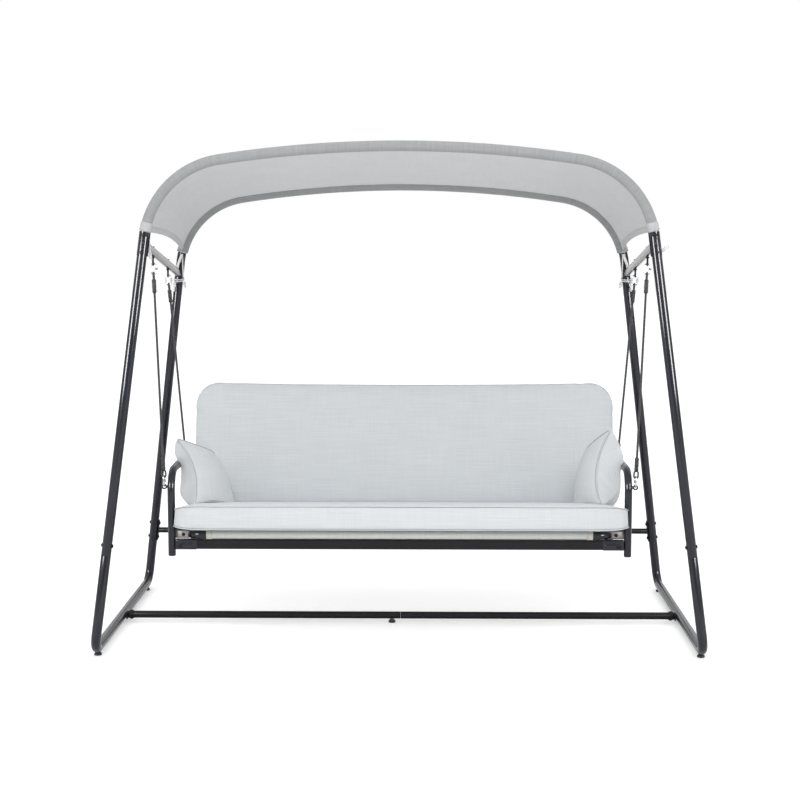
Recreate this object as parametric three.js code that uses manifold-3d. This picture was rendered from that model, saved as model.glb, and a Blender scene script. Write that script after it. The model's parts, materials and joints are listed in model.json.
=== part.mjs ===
// A garden swing for three people under a fabric canopy. Two leaning side frames of round steel
// tube carry two hoops, a cloth canopy between them, and four ropes that hold a padded bench.
// Units are millimetres. X runs along the bench, Y from the front to the back, Z up from the floor.

import * as THREE from 'three';
import { mergeVertices } from 'three/addons/utils/BufferGeometryUtils.js';
import Module from 'manifold-3d';

const wasm = await Module();
wasm.setup();

// Fits
const FIT_GAP = 0.3;
const OVERRUN = 2;

// Steel tube of the stand
const TUBE_R = 19;
const TUBE_WALL = 1.5;
const TUBE_SIDES = 12;
const BORE_SIDES = 8;

// Stand: where the tubes run
const RAIL_X = 1166;
const HALF_DEPTH = 616;
const PAD_HEIGHT = 12;
const SIDE_LEAN_SHARE = 0.126;
const RAKE_SHARE = 0.072;
const LOWER_BEND_R = 60;
const LOWER_BEND_STEPS = 4;
const FRONT_JOINT_Z = 401;
const REAR_JOINT_Z = 222;
const LEG_SPIGOT = 100;
const SWAGE_LENGTH = 16;
const HOOP_TOP_Z = 1955;
const HOOP_RISE = 340;
const HOOP_JOINT_Z = HOOP_TOP_Z - HOOP_RISE;
const HOOP_SPIGOT = 22;
const CROWN_R = 4600;
const CANOPY_FALL = 125;

// Stand: bars between the tubes
const SIDE_BAR_DROP = 29;
const SIDE_BAR_Z = HOOP_JOINT_Z - SIDE_BAR_DROP;
const SIDE_BAR_FALL = 146;
const SIDE_BAR_TALL = 30;
const SIDE_BAR_WIDE = 16;
const FLOOR_BAR_R = 15;
const FLOOR_BAR_Y = -24;
const STUB_LENGTH = 55;
const FLANGE_WIDE = 60;
const FLANGE_TALL = 34;
const FLANGE_THICK = 4;
const BAR_SPIGOT = 60;
const CROSS_BAR_Z = 272;
const CROSS_BAR_R = 12.5;
const CROSS_PLATE_TALL = 96;
const CROSS_PLATE_WIDE = 28;
const CROSS_PLATE_THICK = 3;

// Bolts
const BOLT_R = 4;
const BOLT_HEAD_R = 7.5;
const BOLT_HEAD_TALL = 4.5;
const BOLT_SIDES = 8;
const BAR_BOLT_REACH = 40;
const BAR_NUT_R = 5.6;
const FRONT_BOLT_RISE = 38;
const REAR_BOLT_RISES = [19, 83];

// Feet
const PAD_R = 15;
const PAD_NECK_R = 11;
const PAD_RIM = 7;
const PAD_CHAMFER = 2;
const PAD_SEAT_RISE = 6;
const PAD_INSET = 66;
const MIDDLE_PAD_X = -36;

// Eyes, links and ropes
const FRONT_EYE_Y = -265;
const REAR_EYE_Y = 150;
const EYE_DROP = 44;
const EYE_R = 9;
const WIRE_R = 3;
const WIRE_SIDES = 6;
const RING_STEPS = 10;
const CHAIN_GAP = 0.5;
const LINK_R = 11.5;
const LINK_LENGTH = 42;
const LINK_NUT_R = 4.8;
const LINK_NUT_LENGTH = 12;
const ROPE_R = 4;
const LOOP_R = 8;
const LOOP_WIRE_R = 3.5;
const LOOP_LENGTH = 28;
const SLEEVE_R = 7;
const SLEEVE_LENGTH = 54;
const ROPE_SIDES = 8;

// Bench: the two arm loops and the bars between them
const ARM_X = 902;
const BENCH_R = 15;
const BENCH_SIDES = 10;
const BENCH_BORE_SIDES = 6;
const ARM_TOP_Z = 690;
const ARM_BEND_R = 80;
const FRONT_POST_Y = -360;
const REAR_POST_Y = 250;
const FRONT_POST_FOOT_Z = 356;
const FRONT_HOOK_Z = 638;
const REAR_HOOK_Z = 614;
const HOOK_R = 8;
const HOOK_STANDOFF = 1;
const HOOK_WELD = 8;
const REAR_LINK_PLAY = 1.5;
const REAR_LINK_DROP = 8.2;
const CROSS_TUBE_TALL = 38;
const CROSS_TUBE_DEEP = 22;
const FRONT_BAR_Z = 400;
const CLAMP_LENGTH = 84;
const CLAMP_WALL = 4;
const POST_BELOW_BAR = 12;

// Bench: tilted seat frame and its cloth
const SEAT_TILT = THREE.MathUtils.degToRad(9.5);
const SEAT_RAIL_Y = -375;
const SEAT_FRAME_INSET = 71;
const SEAT_FRAME_X = ARM_X - SEAT_FRAME_INSET;
const SEAT_BEND_R = 50;
const SEAT_FRAME_OVERHANG = 22;
const SEAT_REAR_RAIL = 508;
const SLING_THICK = 1.6;
const SLING_SLACK = 0.4;
const SEAT_SLING_INSET = 69;
const SEAT_SLING_X = SEAT_FRAME_X - SEAT_SLING_INSET;
const PLATE_TALL = 30;
const PLATE_THICK = 3;
const PLATE_SETBACK = 8;

// Bench: leaning back frame and its cloth
const BACK_LEAN = THREE.MathUtils.degToRad(19.4);
const BACK_FRAME_INSET = 39;
const BACK_FRAME_X = ARM_X - BACK_FRAME_INSET;
const BACK_FOOT = 530;
const BACK_FOOT_BELOW = 20;
const BACK_FRAME_TALL = 612;
const BACK_BEND_R = 100;
const BACK_ROD_R = 6;
const BACK_ROD_RISE = 150;
const BACK_SLING_INSET = 111;
const BACK_SLING_X = BACK_FRAME_X - BACK_SLING_INSET;
const BOSS_R = 9;
const ARM_BOSS_RISE = 296;

// Cushions
const CUSHION_INSET = 19;
const CUSHION_X = ARM_X - CUSHION_INSET;
const CUSHION_GAP = 0.6;
const SEAT_PAD_FRONT = 56;
const SEAT_PAD_SHORT = 14;
const SEAT_PAD_DEEP = BACK_FOOT + SEAT_PAD_FRONT - SEAT_PAD_SHORT;
const SEAT_PAD_BOXING = 92;
const SEAT_PAD_CROWN = 12;
const SEAT_PAD_CORNER = 46;
const BACK_PAD_TALL = 528;
const BACK_PAD_BOXING = 70;
const BACK_PAD_CROWN = 12;
const BACK_PAD_CORNER = 112;
const BACK_PAD_RISE = 108;
const PAD_UNDER_CROWN = 1;
const PAD_PULL = 7;
const PILLOW_SIZE = 336;
const PILLOW_THICK = 164;
const PILLOW_EDGE = 5;
const PILLOW_PULL = 22;
const PILLOW_BACKSET = 34;
const PILLOW_SINK = 4.8;
const LEFT_PILLOW_INSET = 87;
const RIGHT_PILLOW_INSET = 85;
const LEFT_PILLOW_X = CUSHION_X - LEFT_PILLOW_INSET;
const RIGHT_PILLOW_X = CUSHION_X - RIGHT_PILLOW_INSET;
const LEFT_PILLOW_LEAN = THREE.MathUtils.degToRad(19);
const RIGHT_PILLOW_LEAN = THREE.MathUtils.degToRad(13);

// Canopy cloth
const CANOPY_THICK = 2.6;
const CANOPY_SLACK = 0.9;
const CANOPY_END_RISE = 16;
const CANOPY_FRONT_END_Z = HOOP_JOINT_Z + CANOPY_END_RISE;
const CANOPY_END_FALL = 95;
const CANOPY_REAR_END_Z = CANOPY_FRONT_END_Z - CANOPY_END_FALL;
const CANOPY_HEM_RISE = 25;
const CANOPY_SAG = 14;

// Worked out from the sizes above
const RAIL_Z = PAD_HEIGHT + TUBE_R;
const TUBE_BORE_R = TUBE_R - TUBE_WALL;
const SPIGOT_R = TUBE_BORE_R * Math.cos(Math.PI / BORE_SIDES) - FIT_GAP;
const HOLE_R = (BOLT_R + FIT_GAP) / Math.cos(Math.PI / BOLT_SIDES);
const HOOK_X = ARM_X + BENCH_R + HOOK_STANDOFF + WIRE_R + HOOK_R;
const ARM_INSIDE_X = ARM_X - BENCH_R - FIT_GAP;
const CLAMP_TOP_Z = FRONT_BAR_Z + (CROSS_TUBE_TALL + CLAMP_WALL) / 2;
const CLAMP_REAR_Y = FRONT_POST_Y + (CROSS_TUBE_DEEP + CLAMP_WALL) / 2;
const SEAT_RAIL_Z = CLAMP_TOP_Z + FIT_GAP + BENCH_R / Math.cos(SEAT_TILT)
  + (CLAMP_REAR_Y - SEAT_RAIL_Y) * Math.tan(SEAT_TILT);

const LEFT = -1;
const RIGHT = 1;
const SIDES = [[LEFT, 'left'], [RIGHT, 'right']];

const X_AXIS = new THREE.Vector3(1, 0, 0);
const Y_AXIS = new THREE.Vector3(0, 1, 0);
const Z_AXIS = new THREE.Vector3(0, 0, 1);

// Finishes
const FINISHES = {
  frame: { color: 0x33373c, roughness: 0.38, metalness: 0.55 },
  bar: { color: 0x2b2c30, roughness: 0.42, metalness: 0.5 },
  zinc: { color: 0xb9bcbd, roughness: 0.3, metalness: 0.95 },
  black: { color: 0x17181a, roughness: 0.6, metalness: 0.1 },
  rope: { color: 0x202124, roughness: 0.85, metalness: 0 },
  canopy: { color: 0xc3c5c7, roughness: 0.9, metalness: 0 },
  sling: { color: 0xc7cbcb, roughness: 0.9, metalness: 0 },
  cushion: { color: 0xd3d9dc, roughness: 0.95, metalness: 0 },
};

const swing = new THREE.Group();

// Points and paths

function vec(x, y, z) {
  return new THREE.Vector3(x, y, z);
}

function between(from, to, share) {
  return from.clone().lerp(to, share);
}

// A run of stations, each with its own direction. The section stands on `side`, which is square
// to every direction, so the tube never twists.
class StationPath extends THREE.Curve {
  constructor(stations, side) {
    super();
    this.stations = stations;
    this.side = side.clone().normalize();
  }

  stationAt(share) {
    return this.stations[Math.round(share * (this.stations.length - 1))];
  }

  getPointAt(share) {
    return this.stationAt(share).point.clone();
  }

  getTangentAt(share) {
    return this.stationAt(share).direction.clone();
  }

  computeFrenetFrames() {
    const tangents = this.stations.map((station) => station.direction.clone());
    const normals = tangents.map(() => this.side.clone());
    const binormals = tangents.map((tangent) => tangent.clone().cross(this.side).normalize());
    return { tangents, normals, binormals };
  }
}

// Straight lengths between corners, with an arc of the bend radius at each inner corner.
function bentPath(corners, bendRadius, arcSteps, side) {
  const stations = [];
  const first = corners[1].clone().sub(corners[0]).normalize();
  stations.push({ point: corners[0].clone(), direction: first });
  for (let i = 1; i < corners.length - 1; i += 1) {
    const into = corners[i].clone().sub(corners[i - 1]).normalize();
    const out = corners[i + 1].clone().sub(corners[i]).normalize();
    const turn = Math.acos(THREE.MathUtils.clamp(into.dot(out), -1, 1));
    const towards = out.clone().addScaledVector(into, -into.dot(out)).normalize();
    const start = corners[i].clone().addScaledVector(into, -bendRadius * Math.tan(turn / 2));
    for (let k = 0; k <= arcSteps; k += 1) {
      const angle = (turn * k) / arcSteps;
      stations.push({
        point: start.clone()
          .addScaledVector(into, bendRadius * Math.sin(angle))
          .addScaledVector(towards, bendRadius * (1 - Math.cos(angle))),
        direction: into.clone().multiplyScalar(Math.cos(angle))
          .addScaledVector(towards, Math.sin(angle)),
      });
    }
  }
  const last = corners[corners.length - 1];
  const end = last.clone().sub(corners[corners.length - 2]).normalize();
  stations.push({ point: last.clone(), direction: end });
  return new StationPath(stations, side);
}

function straightPath(from, to, side) {
  const direction = to.clone().sub(from).normalize();
  return new StationPath([
    { point: from.clone(), direction },
    { point: to.clone(), direction: direction.clone() },
  ], side);
}

// Sections

function ovalPoints(radiusX, radiusY, sides) {
  const points = [];
  for (let i = 0; i < sides; i += 1) {
    const angle = (i * 2 * Math.PI) / sides;
    points.push(new THREE.Vector2(radiusX * Math.cos(angle), radiusY * Math.sin(angle)));
  }
  return points;
}

function roundSection(radius, sides) {
  return new THREE.Shape(ovalPoints(radius, radius, sides));
}

function tubeSection(radius, wall, sides, boreSides) {
  const section = roundSection(radius, sides);
  section.holes.push(new THREE.Path(ovalPoints(radius - wall, radius - wall, boreSides)));
  return section;
}

function boxPoints(halfX, halfY) {
  return [[-1, -1], [1, -1], [1, 1], [-1, 1]]
    .map(([x, y]) => new THREE.Vector2(x * halfX, y * halfY));
}

function boxTubeSection(wide, tall, wall) {
  const section = new THREE.Shape(boxPoints(wide / 2, tall / 2));
  section.holes.push(new THREE.Path(boxPoints(wide / 2 - wall, tall / 2 - wall)));
  return section;
}

function sweep(section, path) {
  return new THREE.ExtrudeGeometry(section, {
    steps: path.stations.length - 1,
    extrudePath: path,
    bevelEnabled: false,
  });
}

function rod(from, to, radius, sides, side) {
  return sweep(roundSection(radius, sides), straightPath(from, to, side));
}

// Joining and cutting

function solidOf(geometry) {
  const bare = geometry.clone();
  bare.deleteAttribute('normal');
  bare.deleteAttribute('uv');
  const merged = mergeVertices(bare);
  return new wasm.Manifold(new wasm.Mesh({
    numProp: 3,
    vertProperties: new Float32Array(merged.attributes.position.array),
    triVerts: new Uint32Array(merged.index.array),
  }));
}

function geometryOf(solid) {
  const mesh = solid.getMesh();
  const geometry = new THREE.BufferGeometry();
  geometry.setAttribute('position', new THREE.BufferAttribute(new Float32Array(mesh.vertProperties), 3));
  geometry.setIndex(new THREE.BufferAttribute(new Uint32Array(mesh.triVerts), 1));
  return geometry;
}

function join(...geometries) {
  const solids = geometries.map(solidOf);
  return geometryOf(solids.slice(1).reduce((whole, solid) => whole.add(solid), solids[0]));
}

function cut(geometry, ...tools) {
  return geometryOf(tools.map(solidOf).reduce((whole, tool) => whole.subtract(tool), solidOf(geometry)));
}

function place(name, finish, geometry, parent = swing) {
  const mesh = new THREE.Mesh(geometry, new THREE.MeshStandardMaterial(FINISHES[finish]));
  mesh.name = name;
  parent.add(mesh);
  return mesh;
}

// Stand: leg lines. Each side frame leans in, and its two legs lean towards each other.

function legAt(side, end, z) {
  const rise = z - RAIL_Z;
  return vec(side * (RAIL_X - SIDE_LEAN_SHARE * rise), end * (HALF_DEPTH - RAKE_SHARE * rise), z);
}

function sideNormal(side) {
  return vec(1, 0, side * SIDE_LEAN_SHARE).normalize();
}

const FRONT = -1;
const REAR = 1;
const ENDS = [[FRONT, 'front', 0, FRONT_JOINT_Z], [REAR, 'rear', CANOPY_FALL, REAR_JOINT_Z]];

// A stand tube whose two ends are swaged: each steps down to a spigot that slides into the next
// tube. The bore narrows a little before the step.
function swagedTube(stations, side, spigotLength) {
  const tube = { outer: TUBE_R, bore: TUBE_BORE_R };
  const spigot = { outer: SPIGOT_R, bore: SPIGOT_R - TUBE_WALL };
  const endOf = (station, outwards) => {
    const along = (distance) => ({
      point: station.point.clone().addScaledVector(station.direction, outwards * distance),
      direction: station.direction,
    });
    return [
      { ...along(spigotLength), ...spigot },
      { ...along(0), ...spigot },
      { ...along(0), outer: tube.outer, bore: spigot.bore },
      { ...along(-SWAGE_LENGTH), ...tube },
    ];
  };
  const last = stations[stations.length - 1];
  return pipe([
    ...endOf(stations[0], -1),
    ...stations.slice(1, -1).map((station) => ({ ...station, ...tube })),
    ...endOf(last, 1).toReversed(),
  ], side);
}

// A hollow round tube through stations that each have an outer and a bore radius.
function pipe(stations, side) {
  const ring = ({ point, direction, outer, bore }) => {
    const up = side.clone().cross(direction);
    const loop = (flat) => flat.map(({ x, y }) => ({
      flat: [x, y],
      solid: point.clone().addScaledVector(side, x).addScaledVector(up, y),
    }));
    return [
      loop(ovalPoints(outer, outer, TUBE_SIDES)),
      loop(ovalPoints(bore, bore, BORE_SIDES).toReversed()),
    ];
  };
  return loftRings(stations.map(ring));
}

function boltHole(at, along, reach) {
  const from = at.clone().addScaledVector(along, -reach);
  const to = at.clone().addScaledVector(along, reach);
  return rod(from, to, HOLE_R, BOLT_SIDES, acrossOf(along));
}

// Any direction square to the one given.
function acrossOf(along) {
  const start = Math.abs(along.z) < Math.abs(along.y) ? Z_AXIS : Y_AXIS;
  return start.clone().addScaledVector(along, -start.dot(along)).normalize();
}

// A bolt with a low domed head and its nut, from the seat of the head to the seat of the nut.
function boltGeometry(headSeat, nutSeat, headRadius, nutRadius) {
  const length = headSeat.distanceTo(nutSeat);
  const profile = [
    [0, -BOLT_HEAD_TALL],
    [headRadius / 2, -BOLT_HEAD_TALL],
    [headRadius, -BOLT_HEAD_TALL / 3],
    [headRadius, 0],
    [BOLT_R, 0],
    [BOLT_R, length],
    [nutRadius, length],
    [nutRadius, length + BOLT_HEAD_TALL],
    [0, length + BOLT_HEAD_TALL],
  ].map(([radius, along]) => new THREE.Vector2(radius, along));
  const geometry = new THREE.LatheGeometry(profile, BOLT_SIDES);
  const direction = nutSeat.clone().sub(headSeat).normalize();
  geometry.applyQuaternion(new THREE.Quaternion().setFromUnitVectors(Y_AXIS, direction));
  geometry.translate(headSeat.x, headSeat.y, headSeat.z);
  return geometry;
}

// Lower side frames: one tube bent up at both ends, with stub and flange for the floor bar.

function lowerFrame(side) {
  const normal = sideNormal(side);
  const path = bentPath([
    legAt(side, FRONT, FRONT_JOINT_Z - FIT_GAP),
    legAt(side, FRONT, RAIL_Z),
    legAt(side, REAR, RAIL_Z),
    legAt(side, REAR, REAR_JOINT_Z - FIT_GAP),
  ], LOWER_BEND_R, LOWER_BEND_STEPS, normal);
  const stubStart = vec(side * (RAIL_X - TUBE_R + TUBE_WALL / 2), FLOOR_BAR_Y, RAIL_Z);
  const stubEnd = vec(side * (RAIL_X - TUBE_R - STUB_LENGTH), FLOOR_BAR_Y, RAIL_Z);
  const flange = new THREE.BoxGeometry(FLANGE_THICK, FLANGE_WIDE, FLANGE_TALL);
  flange.translate(side * (RAIL_X - TUBE_R + TUBE_WALL / 2 - FLANGE_THICK / 2), FLOOR_BAR_Y, RAIL_Z);
  const whole = join(
    swagedTube(path.stations, normal, LEG_SPIGOT),
    rod(stubStart, stubEnd, stubRadius(), BORE_SIDES, Z_AXIS),
    flange,
  );
  return cut(whole, ...legBolts(side).map(([at]) => boltHole(at, normal, TUBE_R + OVERRUN)));
}

function stubRadius() {
  return (FLOOR_BAR_R - TUBE_WALL) * Math.cos(Math.PI / BORE_SIDES) - FIT_GAP;
}

// Where the bolts of one side frame go through its leg joints, with the plate at the rear.
function legBolts(side) {
  const front = [legAt(side, FRONT, FRONT_JOINT_Z + FRONT_BOLT_RISE), 0, 'front_joint_bolt'];
  const rear = REAR_BOLT_RISES.map((rise, i) => [
    legAt(side, REAR, REAR_JOINT_Z + rise), CROSS_PLATE_THICK, ['rear_lower_bolt', 'rear_upper_bolt'][i],
  ]);
  return [front, ...rear];
}

function sideBarEnds(side) {
  return [legAt(side, FRONT, SIDE_BAR_Z), legAt(side, REAR, SIDE_BAR_Z - SIDE_BAR_FALL)];
}

function upperLeg(side, end, fall, jointZ) {
  const normal = sideNormal(side);
  const path = straightPath(legAt(side, end, jointZ), legAt(side, end, HOOP_JOINT_Z - fall), normal);
  const tube = sweep(tubeSection(TUBE_R, TUBE_WALL, TUBE_SIDES, BORE_SIDES), path);
  const [barFront, barRear] = sideBarEnds(side);
  const along = barRear.clone().sub(barFront).normalize();
  const barHole = boltHole(end === FRONT ? barFront : barRear, along, TUBE_R + OVERRUN);
  const joints = legBolts(side).filter(([at]) => Math.sign(at.y) === end);
  return cut(tube, barHole, ...joints.map(([at]) => boltHole(at, normal, TUBE_R + OVERRUN)));
}

// Hoop: a corner arc on each side starts at the leg joint, and a long arc crowns the top. Places
// are worked out flat, in the raked plane of the two legs, and then stood up in that plane.

const RAKE_LENGTH = Math.hypot(1, RAKE_SHARE);
const CORNER_STEPS = 5;
const CROWN_STEPS = 6;

function hoopStations(end, fall) {
  const foot = legAt(RIGHT, end, HOOP_JOINT_Z - fall);
  const rise = HOOP_RISE * RAKE_LENGTH;
  const leanPerRise = SIDE_LEAN_SHARE / RAKE_LENGTH;
  const inward = new THREE.Vector2(-1, -leanPerRise).normalize();
  const crown = new THREE.Vector2(0, rise - CROWN_R);
  const fromCrown = new THREE.Vector2(foot.x, 0).sub(crown);
  const cornerR = (CROWN_R ** 2 - fromCrown.lengthSq()) / (2 * (fromCrown.dot(inward) + CROWN_R));
  const corner = new THREE.Vector2(foot.x, 0).addScaledVector(inward, cornerR);
  const legAngle = Math.atan2(-inward.y, -inward.x);
  const crownAngle = corner.clone().sub(crown).angle();
  const stations = [];
  const add = (centre, radius, angle) => {
    const x = centre.x + radius * Math.cos(angle);
    const up = centre.y + radius * Math.sin(angle);
    stations.push({ x, up, angle });
  };
  for (let k = 0; k <= CORNER_STEPS; k += 1) {
    add(corner, cornerR, THREE.MathUtils.lerp(legAngle, crownAngle, k / CORNER_STEPS));
  }
  for (let k = 1; k < CROWN_STEPS; k += 1) {
    add(crown, CROWN_R, THREE.MathUtils.lerp(crownAngle, Math.PI - crownAngle, k / CROWN_STEPS));
  }
  for (let k = CORNER_STEPS; k >= 0; k -= 1) {
    const angle = THREE.MathUtils.lerp(legAngle, crownAngle, k / CORNER_STEPS);
    const mirrored = new THREE.Vector2(-corner.x, corner.y);
    add(mirrored, cornerR, Math.PI - angle);
  }
  const upwards = vec(0, -end * RAKE_SHARE, 1).normalize();
  const footCentre = vec(0, foot.y, foot.z);
  return stations.map(({ x, up, angle }) => ({
    point: footCentre.clone().addScaledVector(X_AXIS, x).addScaledVector(upwards, up),
    outward: X_AXIS.clone().multiplyScalar(Math.cos(angle)).addScaledVector(upwards, Math.sin(angle)),
    direction: X_AXIS.clone().multiplyScalar(-Math.sin(angle)).addScaledVector(upwards, Math.cos(angle)),
  }));
}

function hoop(end, fall) {
  const side = vec(0, 1, end * RAKE_SHARE).normalize();
  return swagedTube(hoopStations(end, fall), side, HOOP_SPIGOT);
}

// Side bar: an oval tube from the front leg down to the rear leg, coped round both.

function sideBarSection(wall) {
  return ovalPoints(SIDE_BAR_WIDE / 2 - wall, SIDE_BAR_TALL / 2 - wall, TUBE_SIDES);
}

function sideBar(side) {
  const [front, rear] = sideBarEnds(side);
  const section = new THREE.Shape(sideBarSection(0));
  section.holes.push(new THREE.Path(sideBarSection(TUBE_WALL)));
  const bar = sweep(section, straightPath(front, rear, acrossBar(side)));
  const legs = ENDS.map(([end]) => rod(
    legAt(side, end, SIDE_BAR_Z - SIDE_BAR_FALL - SIDE_BAR_TALL),
    legAt(side, end, SIDE_BAR_Z + SIDE_BAR_TALL),
    TUBE_R + FIT_GAP * 2,
    TUBE_SIDES,
    sideNormal(side),
  ));
  const stems = [FRONT_EYE_Y, REAR_EYE_Y].map((y) => {
    const at = barAxisAt(side, y);
    return boltHole(at, Z_AXIS, SIDE_BAR_TALL);
  });
  return cut(bar, ...legs, ...stems);
}

// The bar's sideways direction, square to its length and level.
function acrossBar(side) {
  const [front, rear] = sideBarEnds(side);
  return rear.clone().sub(front).cross(Z_AXIS).normalize();
}

function barAxisAt(side, y) {
  const [front, rear] = sideBarEnds(side);
  return between(front, rear, (y - front.y) / (rear.y - front.y));
}

// The bolt meets the leg at a slant, so its head stands off by what the slant takes up.
function barBolt(side, end) {
  const [front, rear] = sideBarEnds(side);
  const at = end === FRONT ? front : rear;
  const inward = (end === FRONT ? rear.clone().sub(front) : front.clone().sub(rear)).normalize();
  const leg = legAt(side, end, HOOP_JOINT_Z).sub(legAt(side, end, FRONT_JOINT_Z)).normalize();
  const slant = Math.asin(Math.abs(leg.dot(inward)));
  const standoff = (TUBE_R + FIT_GAP) / Math.cos(slant) + BOLT_HEAD_R * Math.tan(slant);
  const head = at.clone().addScaledVector(inward, -standoff);
  const nut = at.clone().addScaledVector(inward, TUBE_R + BAR_BOLT_REACH);
  return boltGeometry(head, nut, BOLT_HEAD_R, BAR_NUT_R);
}

// Floor bar: two halves that slide over the stubs and meet in the middle.

function floorBar(side) {
  const y = FLOOR_BAR_Y;
  const outer = side * (RAIL_X - TUBE_R + TUBE_WALL / 2 - FLANGE_THICK - FIT_GAP);
  const inner = side * FIT_GAP / 2;
  const tube = sweep(
    tubeSection(FLOOR_BAR_R, TUBE_WALL, TUBE_SIDES, BORE_SIDES),
    straightPath(vec(outer, y, RAIL_Z), vec(inner, y, RAIL_Z), Z_AXIS),
  );
  if (side === RIGHT) {
    return tube;
  }
  const plugR = FLOOR_BAR_R - TUBE_WALL / 2;
  return join(
    tube,
    rod(vec(-BAR_SPIGOT / 2, y, RAIL_Z), vec(inner, y, RAIL_Z), plugR, TUBE_SIDES, Z_AXIS),
    rod(vec(-BAR_SPIGOT / 2, y, RAIL_Z), vec(BAR_SPIGOT, y, RAIL_Z), stubRadius(), BORE_SIDES, Z_AXIS),
  );
}

// Rear cross bar: a tube with a plate at each end that the leg bolts clamp to the rear legs.

function platePlace(side) {
  const inward = sideNormal(side).multiplyScalar(-side);
  const offset = TUBE_R + FIT_GAP + CROSS_PLATE_THICK / 2;
  return legAt(side, REAR, CROSS_BAR_Z).addScaledVector(inward, offset);
}

function rearCrossBar() {
  const plates = SIDES.map(([side]) => {
    const plate = new THREE.BoxGeometry(CROSS_PLATE_THICK, CROSS_PLATE_WIDE, CROSS_PLATE_TALL);
    const up = legAt(side, REAR, HOOP_JOINT_Z).sub(legAt(side, REAR, REAR_JOINT_Z)).normalize();
    const normal = sideNormal(side);
    const deep = up.clone().cross(normal).normalize();
    plate.applyMatrix4(new THREE.Matrix4().makeBasis(normal, deep, up));
    const at = platePlace(side);
    plate.translate(at.x, at.y, at.z);
    return plate;
  });
  const [left, right] = [platePlace(LEFT), platePlace(RIGHT)];
  const run = right.x - left.x;
  const core = rod(left, right, CROSS_BAR_R, TUBE_SIDES, Z_AXIS);
  const bore = rod(
    left.clone().addScaledVector(X_AXIS, -CROSS_BAR_R),
    left.clone().addScaledVector(X_AXIS, run + CROSS_BAR_R),
    CROSS_BAR_R - TUBE_WALL,
    BORE_SIDES,
    Z_AXIS,
  );
  const holes = SIDES.flatMap(([side]) => legBolts(side)
    .filter(([at]) => at.y > 0)
    .map(([at]) => boltHole(at, sideNormal(side), TUBE_R * 2)));
  return cut(join(core, ...plates), bore, ...holes);
}

function legBolt(side, at, plate) {
  const outward = sideNormal(side).multiplyScalar(side);
  const head = at.clone().addScaledVector(outward, TUBE_R + FIT_GAP);
  const grip = plate > 0 ? TUBE_R + FIT_GAP + plate + FIT_GAP : TUBE_R + FIT_GAP;
  const nut = at.clone().addScaledVector(outward, -grip);
  return boltGeometry(head, nut, BOLT_HEAD_R, BOLT_HEAD_R);
}

// Feet: glides with a saddle top under the rails and under the middle of the floor bar.

function footPad(x, y, tubeRadius) {
  const top = RAIL_Z - tubeRadius + PAD_SEAT_RISE;
  const profile = [
    [0, 0],
    [PAD_R - PAD_CHAMFER, 0],
    [PAD_R, PAD_CHAMFER],
    [PAD_R, PAD_RIM],
    [PAD_NECK_R, PAD_RIM + PAD_CHAMFER],
    [PAD_NECK_R, top],
    [0, top],
  ].map(([radius, z]) => new THREE.Vector2(radius, z));
  const pad = new THREE.LatheGeometry(profile, TUBE_SIDES);
  pad.rotateX(Math.PI / 2);
  pad.translate(x, y, 0);
  const along = tubeRadius === TUBE_R ? Y_AXIS : X_AXIS;
  const side = tubeRadius === TUBE_R ? sideNormal(Math.sign(x)) : Z_AXIS;
  const from = vec(x, y, RAIL_Z).addScaledVector(along, -PAD_R * 2);
  const to = vec(x, y, RAIL_Z).addScaledVector(along, PAD_R * 2);
  return cut(pad, rod(from, to, tubeRadius + FIT_GAP, TUBE_SIDES, side));
}

function makeStand() {
  for (const [side, sideName] of SIDES) {
    place(`${sideName}_lower_frame`, 'frame', lowerFrame(side));
    for (const [end, endName, fall, jointZ] of ENDS) {
      place(`${sideName}_${endName}_upper_leg`, 'frame', upperLeg(side, end, fall, jointZ));
      place(`${sideName}_${endName}_bar_bolt`, 'black', barBolt(side, end));
      const padY = end * (HALF_DEPTH - PAD_INSET);
      place(`${sideName}_${endName}_foot`, 'black', footPad(side * RAIL_X, padY, TUBE_R));
    }
    place(`${sideName}_side_bar`, 'frame', sideBar(side));
    place(`${sideName}_floor_bar`, 'bar', floorBar(side));
    for (const [at, plate, boltName] of legBolts(side)) {
      place(`${sideName}_${boltName}`, 'black', legBolt(side, at, plate));
    }
  }
  for (const [end, endName, fall] of ENDS) {
    place(`${endName}_canopy_hoop`, 'frame', hoop(end, fall));
  }
  place('middle_foot', 'black', footPad(MIDDLE_PAD_X, FLOOR_BAR_Y, FLOOR_BAR_R));
  place('rear_cross_bar', 'bar', rearCrossBar());
}

// Cloth stretched between two round bars: a sleeve round each and one sheet across. The outline
// lies in a plane where x runs from the first bar to the second and y is the sheet's outer side.

const SLEEVE_STEPS = 7;
const SHEET_STEPS = 4;

function clothLoop(span, firstR, secondR, thick, sag) {
  const arc = (centre, radius, from, to) => {
    const points = [];
    for (let k = 0; k <= SLEEVE_STEPS; k += 1) {
      const angle = THREE.MathUtils.lerp(from, to, k / SLEEVE_STEPS);
      points.push([centre + radius * Math.cos(angle), radius * Math.sin(angle), centre / span]);
    }
    return points;
  };
  const leaveAt = (radius) => Math.asin((radius - thick) / radius);
  const front = arc(0, firstR, Math.PI / 2, 2 * Math.PI + leaveAt(firstR));
  const rear = arc(span, secondR, Math.PI - leaveAt(secondR), 2.5 * Math.PI);
  const sheet = (drop, back) => {
    const points = [];
    for (let k = 1; k < SHEET_STEPS; k += 1) {
      const share = back ? 1 - k / SHEET_STEPS : k / SHEET_STEPS;
      const height = THREE.MathUtils.lerp(firstR, secondR, share) - drop - sag * 4 * share * (1 - share);
      points.push([span * share, height, share]);
    }
    return points;
  };
  return [...front, ...sheet(thick, false), ...rear, ...sheet(0, true)];
}

function clothBore(centre, span, boreR) {
  return ovalPoints(boreR, boreR, BORE_SIDES)
    .map((point) => [centre + point.x, -point.y, centre / span]);
}

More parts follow.
